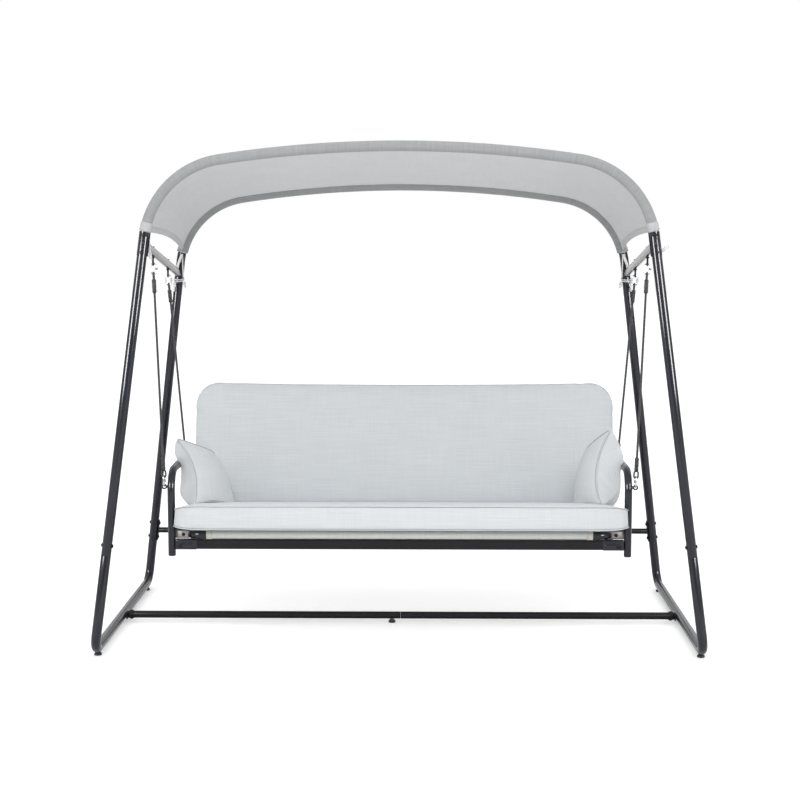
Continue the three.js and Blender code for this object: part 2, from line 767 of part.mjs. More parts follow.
// Canopy: the same cloth section carried along both hoops at once, station by station.

function canopy() {
  const frontHoop = hoopStations(FRONT, 0);
  const rearHoop = hoopStations(REAR, CANOPY_FALL);
  const boreR = (TUBE_R + CANOPY_SLACK) / Math.cos(Math.PI / BORE_SIDES);
  const sleeveR = boreR + CANOPY_THICK;
  const last = frontHoop.length - 1;
  // The two ends stop where the sleeves do, on the hoop's first length above its swage.
  const slide = (stations, i, endZ) => {
    if (i > 0 && i < last) {
      return stations[i].point;
    }
    const step = i === 0 ? 1 : -1;
    const foot = stations[i].point.clone().addScaledVector(stations[i].direction, step * SWAGE_LENGTH);
    const next = stations[i + step].point;
    return between(foot, next, (endZ - foot.z) / (next.z - foot.z));
  };
  const rings = frontHoop.map((station, i) => {
    const front = slide(frontHoop, i, CANOPY_FRONT_END_Z);
    const rear = slide(rearHoop, i, CANOPY_REAR_END_Z);
    const across = rear.clone().sub(front);
    const span = across.length();
    across.normalize();
    const outward = station.outward.clone().addScaledVector(across, -station.outward.dot(across)).normalize();
    const hem = i === 0 || i === last ? CANOPY_HEM_RISE : 0;
    const along = outward.clone().cross(across).normalize().multiplyScalar(i === 0 ? -1 : 1);
    const stand = ([x, y, share]) => front.clone()
      .addScaledVector(across, x)
      .addScaledVector(outward, y)
      .addScaledVector(along, -hem * 4 * share * (1 - share));
    const loop = clothLoop(span, sleeveR, sleeveR, CANOPY_THICK, CANOPY_SAG);
    return [loop, clothBore(0, span, boreR), clothBore(span, span, boreR)]
      .map((points) => points.map((point) => ({ flat: point, solid: stand(point) })));
  });
  return loftRings(rings);
}

// Joins matching loops station by station, and closes both ends.
function loftRings(rings) {
  const positions = [];
  const indices = [];
  const starts = rings.map((loops) => loops.map((loop) => {
    const start = positions.length / 3;
    loop.forEach(({ solid }) => positions.push(solid.x, solid.y, solid.z));
    return start;
  }));
  for (let i = 0; i + 1 < rings.length; i += 1) {
    rings[i].forEach((loop, which) => {
      const here = starts[i][which];
      const next = starts[i + 1][which];
      for (let k = 0; k < loop.length; k += 1) {
        const after = (k + 1) % loop.length;
        indices.push(here + k, next + k, next + after, here + k, next + after, here + after);
      }
    });
  }
  const cap = (i, flip) => {
    const loops = rings[i].map((loop) => loop.map(({ flat }) => new THREE.Vector2(flat[0], flat[1])));
    const corners = starts[i].flatMap((start, which) => loops[which].map((point, k) => start + k));
    for (const [a, b, c] of THREE.ShapeUtils.triangulateShape(loops[0], loops.slice(1))) {
      indices.push(corners[a], corners[flip ? c : b], corners[flip ? b : c]);
    }
  };
  cap(0, false);
  cap(rings.length - 1, true);
  const geometry = new THREE.BufferGeometry();
  geometry.setAttribute('position', new THREE.Float32BufferAttribute(positions, 3));
  geometry.setIndex(indices);
  return geometry;
}

// Hardware that hangs the bench

// A ring in the XY plane, drawn out along Y to the length given, centre of wire to centre.
function ovalRing(radius, wire, length) {
  const ring = new THREE.TorusGeometry(radius, wire, WIRE_SIDES, RING_STEPS);
  ring.rotateZ(Math.PI / RING_STEPS);
  const position = ring.attributes.position;
  const stretch = length / 2 - radius;
  for (let i = 0; i < position.count; i += 1) {
    position.setY(i, position.getY(i) + Math.sign(position.getY(i)) * stretch);
  }
  return ring;
}

function eyePivot(side, y) {
  const eye = barAxisAt(side, y).addScaledVector(Z_AXIS, -EYE_DROP);
  return eye.addScaledVector(Z_AXIS, -EYE_R + 2 * WIRE_R + CHAIN_GAP);
}

// Eye stud: a ring under the side bar on a stem that goes up through it to a nut.
function eyeStud(side, y) {
  const axis = barAxisAt(side, y);
  const centre = axis.clone().addScaledVector(Z_AXIS, -EYE_DROP);
  const ring = new THREE.TorusGeometry(EYE_R, WIRE_R, WIRE_SIDES, RING_STEPS);
  ring.rotateY(Math.PI / 2);
  ring.translate(centre.x, centre.y, centre.z);
  const foot = centre.clone().addScaledVector(Z_AXIS, EYE_R);
  const slope = SIDE_BAR_TALL / 2 + BOLT_HEAD_TALL / 2;
  const above = axis.clone().addScaledVector(Z_AXIS, slope);
  const below = axis.clone().addScaledVector(Z_AXIS, -slope);
  const nutTop = above.clone().addScaledVector(Z_AXIS, BOLT_HEAD_TALL);
  const collarFoot = below.clone().addScaledVector(Z_AXIS, -BOLT_HEAD_TALL);
  return join(
    ring,
    rod(foot, nutTop, BOLT_R, BOLT_SIDES, X_AXIS),
    rod(above, nutTop, BOLT_HEAD_R, WIRE_SIDES, X_AXIS),
    rod(collarFoot, below, BOLT_HEAD_R, WIRE_SIDES, X_AXIS),
  );
}

// One hanger, from the eye to the hook, in a frame whose Y points up the rope. Its pieces are a
// link that faces the front, the rope with a loop and sleeve at each end, and a link that is
// turned a quarter round the rope.
function hanger(side, sideName, end, endName, eyeY, hook, drop) {
  const top = eyePivot(side, eyeY);
  const up = top.clone().sub(hook).normalize();
  const length = top.distanceTo(hook);
  const across = X_AXIS.clone().addScaledVector(up, -up.x).normalize();
  const back = across.clone().cross(up).normalize();
  const group = new THREE.Group();
  group.position.copy(top);
  group.quaternion.setFromRotationMatrix(new THREE.Matrix4().makeBasis(across, up, back));
  swing.add(group);

  const hold = WIRE_R + LOOP_WIRE_R + CHAIN_GAP;
  const link = (centre, turned) => {
    const ring = ovalRing(LINK_R, WIRE_R, LINK_LENGTH);
    const nut = new THREE.CylinderGeometry(LINK_NUT_R, LINK_NUT_R, LINK_NUT_LENGTH, WIRE_SIDES);
    nut.translate(LINK_R * Math.cos(Math.PI / RING_STEPS), 0, 0);
    const whole = join(ring, nut);
    if (turned) {
      whole.rotateY(Math.PI / 2);
    }
    whole.translate(0, centre, 0);
    return whole;
  };
  const lowest = -(length + drop);
  place(`${sideName}_${endName}_upper_link`, 'zinc', link(-LINK_LENGTH / 2, false), group);
  place(`${sideName}_${endName}_lower_link`, 'zinc', link(lowest + LINK_LENGTH / 2, true), group);

  const loopTop = -LINK_LENGTH + hold;
  const loopFoot = lowest + LINK_LENGTH - hold;
  const upperLoop = ovalRing(LOOP_R, LOOP_WIRE_R, LOOP_LENGTH);
  upperLoop.rotateY(Math.PI / 2);
  upperLoop.translate(0, loopTop - LOOP_LENGTH / 2, 0);
  const lowerLoop = ovalRing(LOOP_R, LOOP_WIRE_R, LOOP_LENGTH);
  lowerLoop.translate(0, loopFoot + LOOP_LENGTH / 2, 0);
  const ropeTop = loopTop - LOOP_LENGTH;
  const ropeFoot = loopFoot + LOOP_LENGTH;
  const sleeveTo = (from, direction) => rod(
    vec(0, from, 0), vec(0, from + direction * SLEEVE_LENGTH, 0), SLEEVE_R, ROPE_SIDES, X_AXIS,
  );
  const rope = join(
    upperLoop,
    lowerLoop,
    sleeveTo(ropeTop, -1),
    sleeveTo(ropeFoot, 1),
    rod(vec(0, ropeTop, 0), vec(0, ropeFoot, 0), ROPE_R, ROPE_SIDES, X_AXIS),
  );
  place(`${sideName}_${endName}_rope`, 'rope', rope, group);
}

function makeHangers() {
  const firm = 2 * WIRE_R + CHAIN_GAP;
  for (const [side, sideName] of SIDES) {
    place(`${sideName}_front_eye`, 'black', eyeStud(side, FRONT_EYE_Y));
    place(`${sideName}_rear_eye`, 'black', eyeStud(side, REAR_EYE_Y));
    const frontHook = vec(side * HOOK_X, FRONT_POST_Y, FRONT_HOOK_Z);
    const rearHook = vec(side * HOOK_X, REAR_POST_Y + REAR_LINK_PLAY, REAR_HOOK_Z);
    hanger(side, sideName, FRONT, 'front', FRONT_EYE_Y, frontHook, firm);
    hanger(side, sideName, REAR, 'rear', REAR_EYE_Y, rearHook, REAR_LINK_DROP);
  }
}

// Bench

const benchTube = () => tubeSection(BENCH_R, TUBE_WALL, BENCH_SIDES, BENCH_BORE_SIDES);
const BENCH_BEND_STEPS = 4;

function seatRailZ(y) {
  return SEAT_RAIL_Z - (y - SEAT_RAIL_Y) * Math.tan(SEAT_TILT);
}

function rearBarZ() {
  const railUnder = BENCH_R / Math.cos(SEAT_TILT) + FIT_GAP;
  return seatRailZ(REAR_POST_Y + CROSS_TUBE_DEEP / 2) - railUnder - CROSS_TUBE_TALL / 2;
}

function armPath(side) {
  const rearFoot = rearBarZ() - CROSS_TUBE_TALL / 2 - POST_BELOW_BAR;
  return bentPath([
    vec(side * ARM_X, FRONT_POST_Y, FRONT_POST_FOOT_Z),
    vec(side * ARM_X, FRONT_POST_Y, ARM_TOP_Z),
    vec(side * ARM_X, REAR_POST_Y, ARM_TOP_Z),
    vec(side * ARM_X, REAR_POST_Y, rearFoot),
  ], ARM_BEND_R, BENCH_BEND_STEPS, X_AXIS);
}

// Arm loop: front post, arm and rear post in one tube, with a ring welded outside each post.
function armLoop(side) {
  const hooks = [[FRONT_POST_Y, FRONT_HOOK_Z], [REAR_POST_Y, REAR_HOOK_Z]].flatMap(([y, z]) => {
    const ring = new THREE.TorusGeometry(HOOK_R, WIRE_R, WIRE_SIDES, RING_STEPS);
    ring.rotateX(Math.PI / 2);
    ring.translate(side * HOOK_X, y, z - HOOK_R);
    const weld = new THREE.BoxGeometry(HOOK_WELD, HOOK_WELD, HOOK_WELD);
    weld.translate(side * (ARM_X + BENCH_R - TUBE_WALL + HOOK_WELD / 2), y, z - HOOK_R);
    const hole = new THREE.SphereGeometry(HOOK_R - WIRE_R, BENCH_SIDES, WIRE_SIDES);
    hole.translate(side * HOOK_X, y, z - HOOK_R);
    return [ring, cut(weld, hole)];
  });
  return join(sweep(benchTube(), armPath(side)), ...hooks);
}

function crossTube(y, z, clamps) {
  const along = (from, to) => straightPath(vec(from, y, z), vec(to, y, z), Y_AXIS);
  const tube = sweep(
    boxTubeSection(CROSS_TUBE_DEEP, CROSS_TUBE_TALL, TUBE_WALL),
    along(-ARM_INSIDE_X, ARM_INSIDE_X),
  );
  if (!clamps) {
    return tube;
  }
  const wide = CROSS_TUBE_DEEP + CLAMP_WALL;
  const tall = CROSS_TUBE_TALL + CLAMP_WALL;
  const clamp = boxTubeSection(wide, tall, CLAMP_WALL / 2 + TUBE_WALL / 2);
  return join(
    tube,
    sweep(clamp, along(-ARM_INSIDE_X, CLAMP_LENGTH - ARM_INSIDE_X)),
    sweep(clamp, along(ARM_INSIDE_X - CLAMP_LENGTH, ARM_INSIDE_X)),
  );
}

// The seat's own frame: X along the bench, Y back along the tilted seat, Z square to it.
const seat = new THREE.Group();
seat.position.set(0, SEAT_RAIL_Y, SEAT_RAIL_Z);
seat.rotation.x = -SEAT_TILT;
swing.add(seat);

// The back's own frame: its origin is where the uprights cross the seat's side rails, Z runs up
// the back and Y points out of its rear.
const back = new THREE.Group();
back.position.set(
  0,
  SEAT_RAIL_Y + BACK_FOOT * Math.cos(SEAT_TILT),
  SEAT_RAIL_Z - BACK_FOOT * Math.sin(SEAT_TILT),
);
back.rotation.x = -BACK_LEAN;
swing.add(back);
swing.updateMatrixWorld(true);

function intoFrame(geometry, frame) {
  return geometry.applyMatrix4(frame.matrixWorld.clone().invert());
}

function seatFramePath() {
  const rearEnd = (REAR_POST_Y - SEAT_RAIL_Y + SEAT_FRAME_OVERHANG) / Math.cos(SEAT_TILT);
  return bentPath([
    vec(-SEAT_FRAME_X, rearEnd, 0),
    vec(-SEAT_FRAME_X, 0, 0),
    vec(SEAT_FRAME_X, 0, 0),
    vec(SEAT_FRAME_X, rearEnd, 0),
  ], SEAT_BEND_R, BENCH_BEND_STEPS, Z_AXIS);
}

function seatRearRail() {
  const half = SEAT_FRAME_X - BENCH_R - FIT_GAP;
  return sweep(
    benchTube(),
    straightPath(vec(-half, SEAT_REAR_RAIL, 0), vec(half, SEAT_REAR_RAIL, 0), Z_AXIS),
  );
}

function slingBoreR(barR) {
  return (barR + SLING_SLACK) / Math.cos(Math.PI / BORE_SIDES);
}

function slingOuterR(barR) {
  return slingBoreR(barR) + SLING_THICK;
}

// Cloth between two bars that run along X: the outline is turned into the frame's Y and Z.
function slingGeometry(halfLength, span, firstR, secondR) {
  const loops = [
    clothLoop(span, slingOuterR(firstR), slingOuterR(secondR), SLING_THICK, 0),
    clothBore(0, span, slingBoreR(firstR)),
    clothBore(span, span, slingBoreR(secondR)),
  ];
  const rings = [halfLength, -halfLength].map((x) => loops.map((loop) => loop.map((flat) => ({
    flat,
    solid: vec(x, flat[0], flat[1]),
  }))));
  return loftRings(rings);
}

// Zinc plate that ties the seat frame's front corner to the front post.
function seatPlate(side) {
  const y = FRONT_POST_Y + PLATE_SETBACK;
  const inner = SEAT_FRAME_X;
  const outer = ARM_X;
  const plate = new THREE.BoxGeometry(outer - inner, PLATE_THICK, PLATE_TALL);
  plate.translate(side * (inner + outer) / 2, y, seatRailZ(y));
  const postClear = rod(
    vec(side * ARM_X, FRONT_POST_Y, FRONT_POST_FOOT_Z),
    vec(side * ARM_X, FRONT_POST_Y, ARM_TOP_Z),
    BENCH_R + FIT_GAP,
    BENCH_SIDES,
    X_AXIS,
  );
  const frameClear = sweep(roundSection(BENCH_R + FIT_GAP, BENCH_SIDES), seatFramePath());
  frameClear.applyMatrix4(seat.matrixWorld);
  return cut(plate, postClear, frameClear);
}

// Back frame: an upturned U with a thin rod across, and bosses that reach the arms and seat.
function backFrame() {
  const tube = sweep(benchTube(), bentPath([
    vec(-BACK_FRAME_X, 0, -BACK_FOOT_BELOW),
    vec(-BACK_FRAME_X, 0, BACK_FRAME_TALL),
    vec(BACK_FRAME_X, 0, BACK_FRAME_TALL),
    vec(BACK_FRAME_X, 0, -BACK_FOOT_BELOW),
  ], BACK_BEND_R, BENCH_BEND_STEPS, Y_AXIS));
  const wallInside = BACK_FRAME_X - BENCH_R + TUBE_WALL / 2;
  const rodAcross = rod(
    vec(-wallInside, 0, BACK_ROD_RISE),
    vec(wallInside, 0, BACK_ROD_RISE),
    BACK_ROD_R,
    BORE_SIDES,
    Z_AXIS,
  );
  const bosses = SIDES.flatMap(([side]) => {
    const outside = BACK_FRAME_X + BENCH_R - TUBE_WALL / 2;
    const toArm = rod(
      vec(side * outside, 0, ARM_BOSS_RISE),
      vec(side * ARM_X, 0, ARM_BOSS_RISE),
      BOSS_R,
      BENCH_SIDES,
      Z_AXIS,
    );
    const armClear = sweep(roundSection(BENCH_R + FIT_GAP, BENCH_SIDES), armPath(side));
    const toSeat = rod(
      vec(side * wallInside, 0, 0),
      vec(side * (SEAT_FRAME_X + BENCH_R + FIT_GAP), 0, 0),
      BOSS_R,
      BENCH_SIDES,
      Z_AXIS,
    );
    return [cut(toArm, intoFrame(armClear, back)), toSeat];
  });
  return join(tube, rodAcross, ...bosses);
}

// Cushions: rings of the outline, drawn in towards the middle, over and under a boxed edge.

// A rectangle with round corners whose sides are drawn in between them. Places are counted
// evenly in angle on each corner and evenly along each side.
function cushionOutline(halfX, halfY, corner, pull, sideSteps, cornerSteps) {
  const points = [];
  const addSide = (from, to, steps, inward) => {
    for (let k = 1; k < steps; k += 1) {
      const share = k / steps;
      const point = from.clone().lerp(to, share);
      points.push(point.addScaledVector(inward, pull * 4 * share * (1 - share)));
    }
  };
  const quarters = [[1, 1], [-1, 1], [-1, -1], [1, -1]];
  quarters.forEach(([sx, sy], quarter) => {
    const centre = new THREE.Vector2(sx * (halfX - corner), sy * (halfY - corner));
    const startAngle = (quarter * Math.PI) / 2;
    for (let k = 0; k <= cornerSteps; k += 1) {
      const angle = startAngle + (k / cornerSteps) * (Math.PI / 2);
      points.push(centre.clone().add(new THREE.Vector2(Math.cos(angle), Math.sin(angle)).multiplyScalar(corner)));
    }
    const next = quarters[(quarter + 1) % quarters.length];
    const from = points[points.length - 1].clone();
    const endAngle = startAngle + Math.PI / 2;
    const to = new THREE.Vector2(next[0] * (halfX - corner), next[1] * (halfY - corner))
      .add(new THREE.Vector2(Math.cos(endAngle), Math.sin(endAngle)).multiplyScalar(corner));
    const inward = new THREE.Vector2(-Math.cos(endAngle), -Math.sin(endAngle));
    addSide(from, to, sideSteps[quarter % 2], inward);
  });
  return points;
}

// Stacks rings of (inset share, height) and closes the two middles.
function ringSolid(outline, halfX, halfY, levels) {
  const positions = [];
  const indices = [];
  const count = outline.length;
  for (const { share, height } of levels) {
    for (const point of outline) {
      const x = point.x * share;
      const y = point.y * share;
      positions.push(x, y, height(x / halfX, y / halfY));
    }
  }
  for (let level = 0; level + 1 < levels.length; level += 1) {
    for (let k = 0; k < count; k += 1) {
      const here = level * count + k;
      const beside = level * count + ((k + 1) % count);
      indices.push(here, beside, beside + count, here, beside + count, here + count);
    }
  }
  const close = (level, flip) => {
    const middle = positions.length / 3;
    positions.push(0, 0, levels[level].height(0, 0));
    for (let k = 0; k < count; k += 1) {
      const here = level * count + k;
      const beside = level * count + ((k + 1) % count);
      indices.push(middle, flip ? beside : here, flip ? here : beside);
    }
  };
  close(0, true);
  close(levels.length - 1, false);
  const geometry = new THREE.BufferGeometry();
  geometry.setAttribute('position', new THREE.Float32BufferAttribute(positions, 3));
  geometry.setIndex(indices);
  return geometry;
}

const RING_SHARES = [0.4, 0.72, 0.9, 0.975];
const EDGE_SHARES = [1, 1];

function boxedCushion(halfX, halfY, corner, boxing, crown) {
  const outline = cushionOutline(halfX, halfY, corner, PAD_PULL, [8, 4], 3);
  const bulge = (x, y) => crown * (1 - Math.abs(x) ** 8) * (1 - Math.abs(y) ** 3);
  const top = (x, y) => boxing / 2 + bulge(x, y);
  const under = (x, y) => -boxing / 2 - (PAD_UNDER_CROWN / crown) * bulge(x, y);
  const levels = [
    ...RING_SHARES.map((share) => ({ share, height: under })),
    ...EDGE_SHARES.map((share, i) => ({ share, height: () => (i - 1 / 2) * boxing })),
    ...RING_SHARES.toReversed().map((share) => ({ share, height: top })),
  ];
  return ringSolid(outline, halfX, halfY, levels);
}

// A pillow comes to a thin edge all round and to points at its corners.
function pillowGeometry() {
  const half = PILLOW_SIZE / 2;
  const outline = cushionOutline(half, half, PILLOW_EDGE, PILLOW_PULL, [5, 5], 1);
  const swell = (x, y) => Math.sqrt(Math.max(0, (1 - x * x) * (1 - y * y)));
  const rise = (PILLOW_THICK - PILLOW_EDGE) / 2;
  const face = (sign) => (x, y) => sign * (PILLOW_EDGE / 2 + rise * swell(x, y));
  const shares = [0.3, 0.58, 0.8, 0.94];
  const levels = [
    ...shares.map((share) => ({ share, height: face(-1) })),
    { share: 1, height: () => -PILLOW_EDGE / 2 },
    { share: 1, height: () => PILLOW_EDGE / 2 },
    ...shares.toReversed().map((share) => ({ share, height: face(1) })),
  ];
  return ringSolid(outline, half, half, levels);
}

// How far a cushion's boxed edge stands off the bar its cloth wraps.
function padStandoff() {
  return slingOuterR(BENCH_R) + CUSHION_GAP + PAD_UNDER_CROWN;
}

function seatTopZ() {
  return padStandoff() + SEAT_PAD_BOXING + SEAT_PAD_CROWN;
}

function makeCushions() {
  const seatPad = boxedCushion(
    CUSHION_X, SEAT_PAD_DEEP / 2, SEAT_PAD_CORNER, SEAT_PAD_BOXING, SEAT_PAD_CROWN,
  );
  seatPad.translate(
    0,
    SEAT_PAD_DEEP / 2 - SEAT_PAD_FRONT,
    seatTopZ() - SEAT_PAD_CROWN - SEAT_PAD_BOXING / 2,
  );
  place('seat_cushion', 'cushion', seatPad, seat);

  const backPad = boxedCushion(
    CUSHION_X, BACK_PAD_TALL / 2, BACK_PAD_CORNER, BACK_PAD_BOXING, BACK_PAD_CROWN,
  );
  backPad.rotateX(Math.PI / 2);
  backPad.translate(
    0,
    -(padStandoff() + BACK_PAD_BOXING / 2),
    BACK_PAD_RISE + BACK_PAD_TALL / 2,
  );
  place('back_cushion', 'cushion', backPad, back);

  const leans = [[LEFT_PILLOW_X, LEFT_PILLOW_LEAN], [RIGHT_PILLOW_X, RIGHT_PILLOW_LEAN]];
  SIDES.forEach(([side, sideName], i) => {
    const [x, lean] = leans[i];
    const pillow = pillowGeometry();
    pillow.rotateY(side * (lean - Math.PI / 2));
    pillow.computeBoundingBox();
    const lift = seatTopZ() - PILLOW_SINK - pillow.boundingBox.min.z;
    pillow.translate(side * x, PILLOW_BACKSET + PILLOW_SIZE / 2, lift);
    place(`${sideName}_pillow`, 'cushion', pillow, seat);
  });
}

function makeBench() {
  for (const [side, sideName] of SIDES) {
    place(`${sideName}_arm_loop`, 'frame', armLoop(side));
    place(`${sideName}_seat_plate`, 'zinc', seatPlate(side));
  }
  place('bench_front_bar', 'bar', crossTube(FRONT_POST_Y, FRONT_BAR_Z, true));
  place('bench_rear_bar', 'bar', crossTube(REAR_POST_Y, rearBarZ(), false));
  place('seat_frame', 'frame', sweep(benchTube(), seatFramePath()), seat);
  place('seat_rear_rail', 'frame', seatRearRail(), seat);
  place('seat_sling', 'sling', slingGeometry(SEAT_SLING_X, SEAT_REAR_RAIL, BENCH_R, BENCH_R), seat);
  place('back_frame', 'frame', backFrame(), back);

  const backSling = slingGeometry(
    BACK_SLING_X, BACK_FRAME_TALL - BACK_ROD_RISE, BACK_ROD_R, BENCH_R,
  );
  backSling.rotateX(Math.PI / 2);
  backSling.translate(0, 0, BACK_ROD_RISE);
  place('back_sling', 'sling', backSling, back);
  makeCushions();
}

makeStand();
place('canopy', 'canopy', canopy());
makeHangers();
makeBench();

export default swing;
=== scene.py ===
"""A garden swing dressed for its photograph: smooth tubes, hardware, ropes, cloth and cushions.

Lengths are metres. X runs along the bench, Y from the front to the back, Z up from the floor.
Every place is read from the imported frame; the sizes named below are those of the pieces' sections.
"""

import json
import math

import bpy
import numpy as np
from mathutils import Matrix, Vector

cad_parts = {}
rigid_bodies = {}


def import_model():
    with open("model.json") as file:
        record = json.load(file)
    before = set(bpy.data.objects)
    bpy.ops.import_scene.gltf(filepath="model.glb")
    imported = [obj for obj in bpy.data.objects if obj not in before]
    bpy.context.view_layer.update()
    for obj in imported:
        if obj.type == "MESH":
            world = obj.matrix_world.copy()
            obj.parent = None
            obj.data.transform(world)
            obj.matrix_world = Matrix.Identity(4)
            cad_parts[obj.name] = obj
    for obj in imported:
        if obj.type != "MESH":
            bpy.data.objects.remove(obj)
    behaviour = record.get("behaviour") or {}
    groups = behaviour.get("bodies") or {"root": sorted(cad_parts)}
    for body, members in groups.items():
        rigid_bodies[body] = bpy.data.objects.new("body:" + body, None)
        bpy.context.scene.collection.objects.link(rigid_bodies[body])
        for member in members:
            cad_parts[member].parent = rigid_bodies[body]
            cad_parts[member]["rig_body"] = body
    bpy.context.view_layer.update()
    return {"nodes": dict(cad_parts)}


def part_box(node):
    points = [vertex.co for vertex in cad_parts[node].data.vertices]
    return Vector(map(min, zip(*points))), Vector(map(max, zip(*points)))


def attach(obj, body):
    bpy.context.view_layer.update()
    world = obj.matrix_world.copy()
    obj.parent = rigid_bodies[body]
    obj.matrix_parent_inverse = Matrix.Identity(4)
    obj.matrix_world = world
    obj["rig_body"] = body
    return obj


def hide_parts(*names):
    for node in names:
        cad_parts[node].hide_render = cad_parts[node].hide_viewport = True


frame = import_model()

# Camera
LENS = 72.1
SENSOR = 36.0
EYE = (0.0898, -6.6, 1.671)
EYE_DROP_ANGLE = 0.111
EYE_TURN = 0.014

# Light: how bright the room is low down and overhead, and what its far and side walls add
DIM_WALL = 0.26
BRIGHT_CEILING = 1.10
BACK_WALL = 0.75
SIDE_WALL = 0.20
FLOOR_GLOW = 0.32
FLOOR_HALF = 30.0

# Lamps: place, aim, size, watts, whether each one lights the pieces and whether it shines in them
LAMPS = {
    "overhead": ((0.0, -0.8, 4.6), (0, 0, 0.4), (4.0, 3.0), 10.0, True, True),
    "front_fill": ((0.0, -4.8, 3.7), (0, 0, 0.7), (3.6, 1.6), 100.0, True, False),
    "left_strip": ((-4.8, -4.6, 2.7), (0, 0, 1.4), (2.4, 2.4), 560.0, False, True),
    "right_strip": ((4.8, -4.6, 2.7), (0, 0, 1.4), (2.4, 2.4), 560.0, False, True),
}

# Sections of the stand and the bench
TUBE_R = 0.019
BENCH_R = 0.015
FLOOR_BAR_R = 0.015
CROSS_BAR_R = 0.0125
SPIGOT_R = 0.0158
SPIGOT_DEPTH = 0.03
ROLLED_EDGE = 0.0012
LOWER_BEND_R = 0.060
CROWN_R = 4.6
REAR_BAR_Z = 0.272
SIDE_BAR_TALL = 0.034
SIDE_BAR_WIDE = 0.023
ARM_BEND_R = 0.080
SEAT_BEND_R = 0.050
BACK_BEND_R = 0.100
SEAT_TILT = math.radians(9.5)
BACK_LEAN = math.radians(19.4)
BACK_FRAME_TALL = 0.612
GAP = 0.0003

# Flat plates: width, height, thickness and corner radius
FLOOR_FLANGE = (0.060, 0.034, 0.004, 0.006)
FLANGE_INSET = 0.0012
CROSS_PLATE = (0.028, 0.096, 0.003, 0.008)
TIE_FLANGE_DEEP = 0.020

# Hardware
BOLT_R = 0.004
HEAD_R = 0.0075
HEAD_TALL = 0.0045
WIRE_R = 0.003
EYE_R = 0.009
LINK_R = 0.0115
LINK_LENGTH = 0.042
ROPE_R = 0.0047
LOOP_R = 0.008
LOOP_WIRE_R = 0.0035
LOOP_LENGTH = 0.028
SLEEVE_R = 0.0082
SLEEVE_LENGTH = 0.054
HOOK_R = 0.008
CHAIN_GAP = 0.0005

# Leg saddles: half height, wall, how far round the leg on each side, and the bolts' distance
SADDLE_HALF = 0.046
SADDLE_WALL = 0.0028
SADDLE_SPREAD = math.radians(82)
SADDLE_BOLT_STEP = 0.034

# Braid: how high its ridges stand in shares of the rope's radius, strands, and length of one turn
ROPE_RIDGE = 0.07
ROPE_STRANDS = 8
ROPE_LAY = 0.016

# Turned profiles: distance along the axis and radius
FOOT_PROFILE = [(0.0, 0.0125), (0.0004, 0.0138), (0.0015, 0.0148), (0.003, 0.015), (0.006, 0.015),
                (0.0072, 0.0146), (0.008, 0.0134), (0.0086, 0.0118), (0.0094, 0.011), (0.0128, 0.0108)]
PLUG_PROFILE = [(-0.002, 0.0138), (0.0004, 0.0146), (0.0016, 0.0146), (0.0030, 0.0136), (0.0034, 0.0120)]
COLLAR_PROFILE = [(0.004, FLOOR_BAR_R), (0.004, FLOOR_BAR_R + 0.0016), (0.0046, FLOOR_BAR_R + 0.0022),
                  (0.0234, FLOOR_BAR_R + 0.0022), (0.024, FLOOR_BAR_R + 0.0016), (0.024, FLOOR_BAR_R)]
EYE_SHOULDER = [(-0.004, 0.0042), (-0.001, 0.0055), (0.001, 0.0074), (0.0024, HEAD_R), (0.0040, HEAD_R)]
EYE_NUT = [(0.0, 0.0068), (0.0004, HEAD_R), (0.0026, HEAD_R), (0.0030, 0.0068)]
LINK_NUT = [(-0.006, 0.0036), (-0.0054, 0.0048), (0.0054, 0.0048), (0.006, 0.0036)]
CRIMPED_SLEEVE = [
    (-0.001, 0.0056), (0.0, 0.0070), (0.002, SLEEVE_R), (0.012, SLEEVE_R), (0.014, 0.0076), (0.017, 0.0076),
    (0.019, SLEEVE_R), (0.034, SLEEVE_R), (0.036, 0.0076), (0.039, 0.0076), (0.041, SLEEVE_R),
    (0.050, SLEEVE_R), (0.053, 0.0058), (SLEEVE_LENGTH, 0.0046),
]
WELD_BEAD = [(BENCH_R - 0.003, 0.0075), (BENCH_R, 0.0066), (BENCH_R + 0.0015, 0.0052),
             (BENCH_R + 0.003, 0.0040)]

# Bolt heads on a washer: the washer's seat, rim and height, then the dome's radius and height
CLAMP_HEAD = (0.0085, 0.0088, 0.0012, 0.0066, 0.0036)
PLATE_HEAD = (0.0070, 0.0072, 0.0008, 0.0056, 0.0032)

# Bench sections
BACK_FOOT_BELOW = 0.020
BACK_ROD_R = 0.006
BACK_ROD_RISE = 0.150
BOSS_R = 0.009
ARM_BOSS_RISE = 0.296
CROSS_TUBE_DEEP = 0.022
CROSS_TUBE_TALL = 0.038
CLAMP_LENGTH = 0.084
CLAMP_WALL = 0.004
CLAMP_RIB_LONG = 0.062
CLAMP_RIB_TALL = 0.024
CLAMP_RIB_IN = 0.044
CLAMP_BOLT_IN = 0.020
CLAMP_DROP = 0.004

# Canopy
CANOPY_RISE = {"front": 0.016, "rear": 0.046}
CANOPY_HEM_RISE = 0.025
CANOPY_SAG = 0.014
CANOPY_FLAP = 0.040
HEM_WIDE = 0.024
CUFF_LENGTH = 0.044
CUFF_WALL = 0.0030
CUFF_RIBS = 12
CUFF_RIB_RISE = 0.0006
POCKET_PLAY = {"front": 0.0012, "rear": 0.0055}
CLOTH_THICK = 0.0012
HEM_THICK = 0.0010
HEM_LIFTS = {"under": -0.0014, "over": 0.0012}

# Slings
SLING_FLAP = 0.040
SLING_HEM = 0.022
SLING_HEM_THICK = 0.0030
SLING_PLAY = 0.001

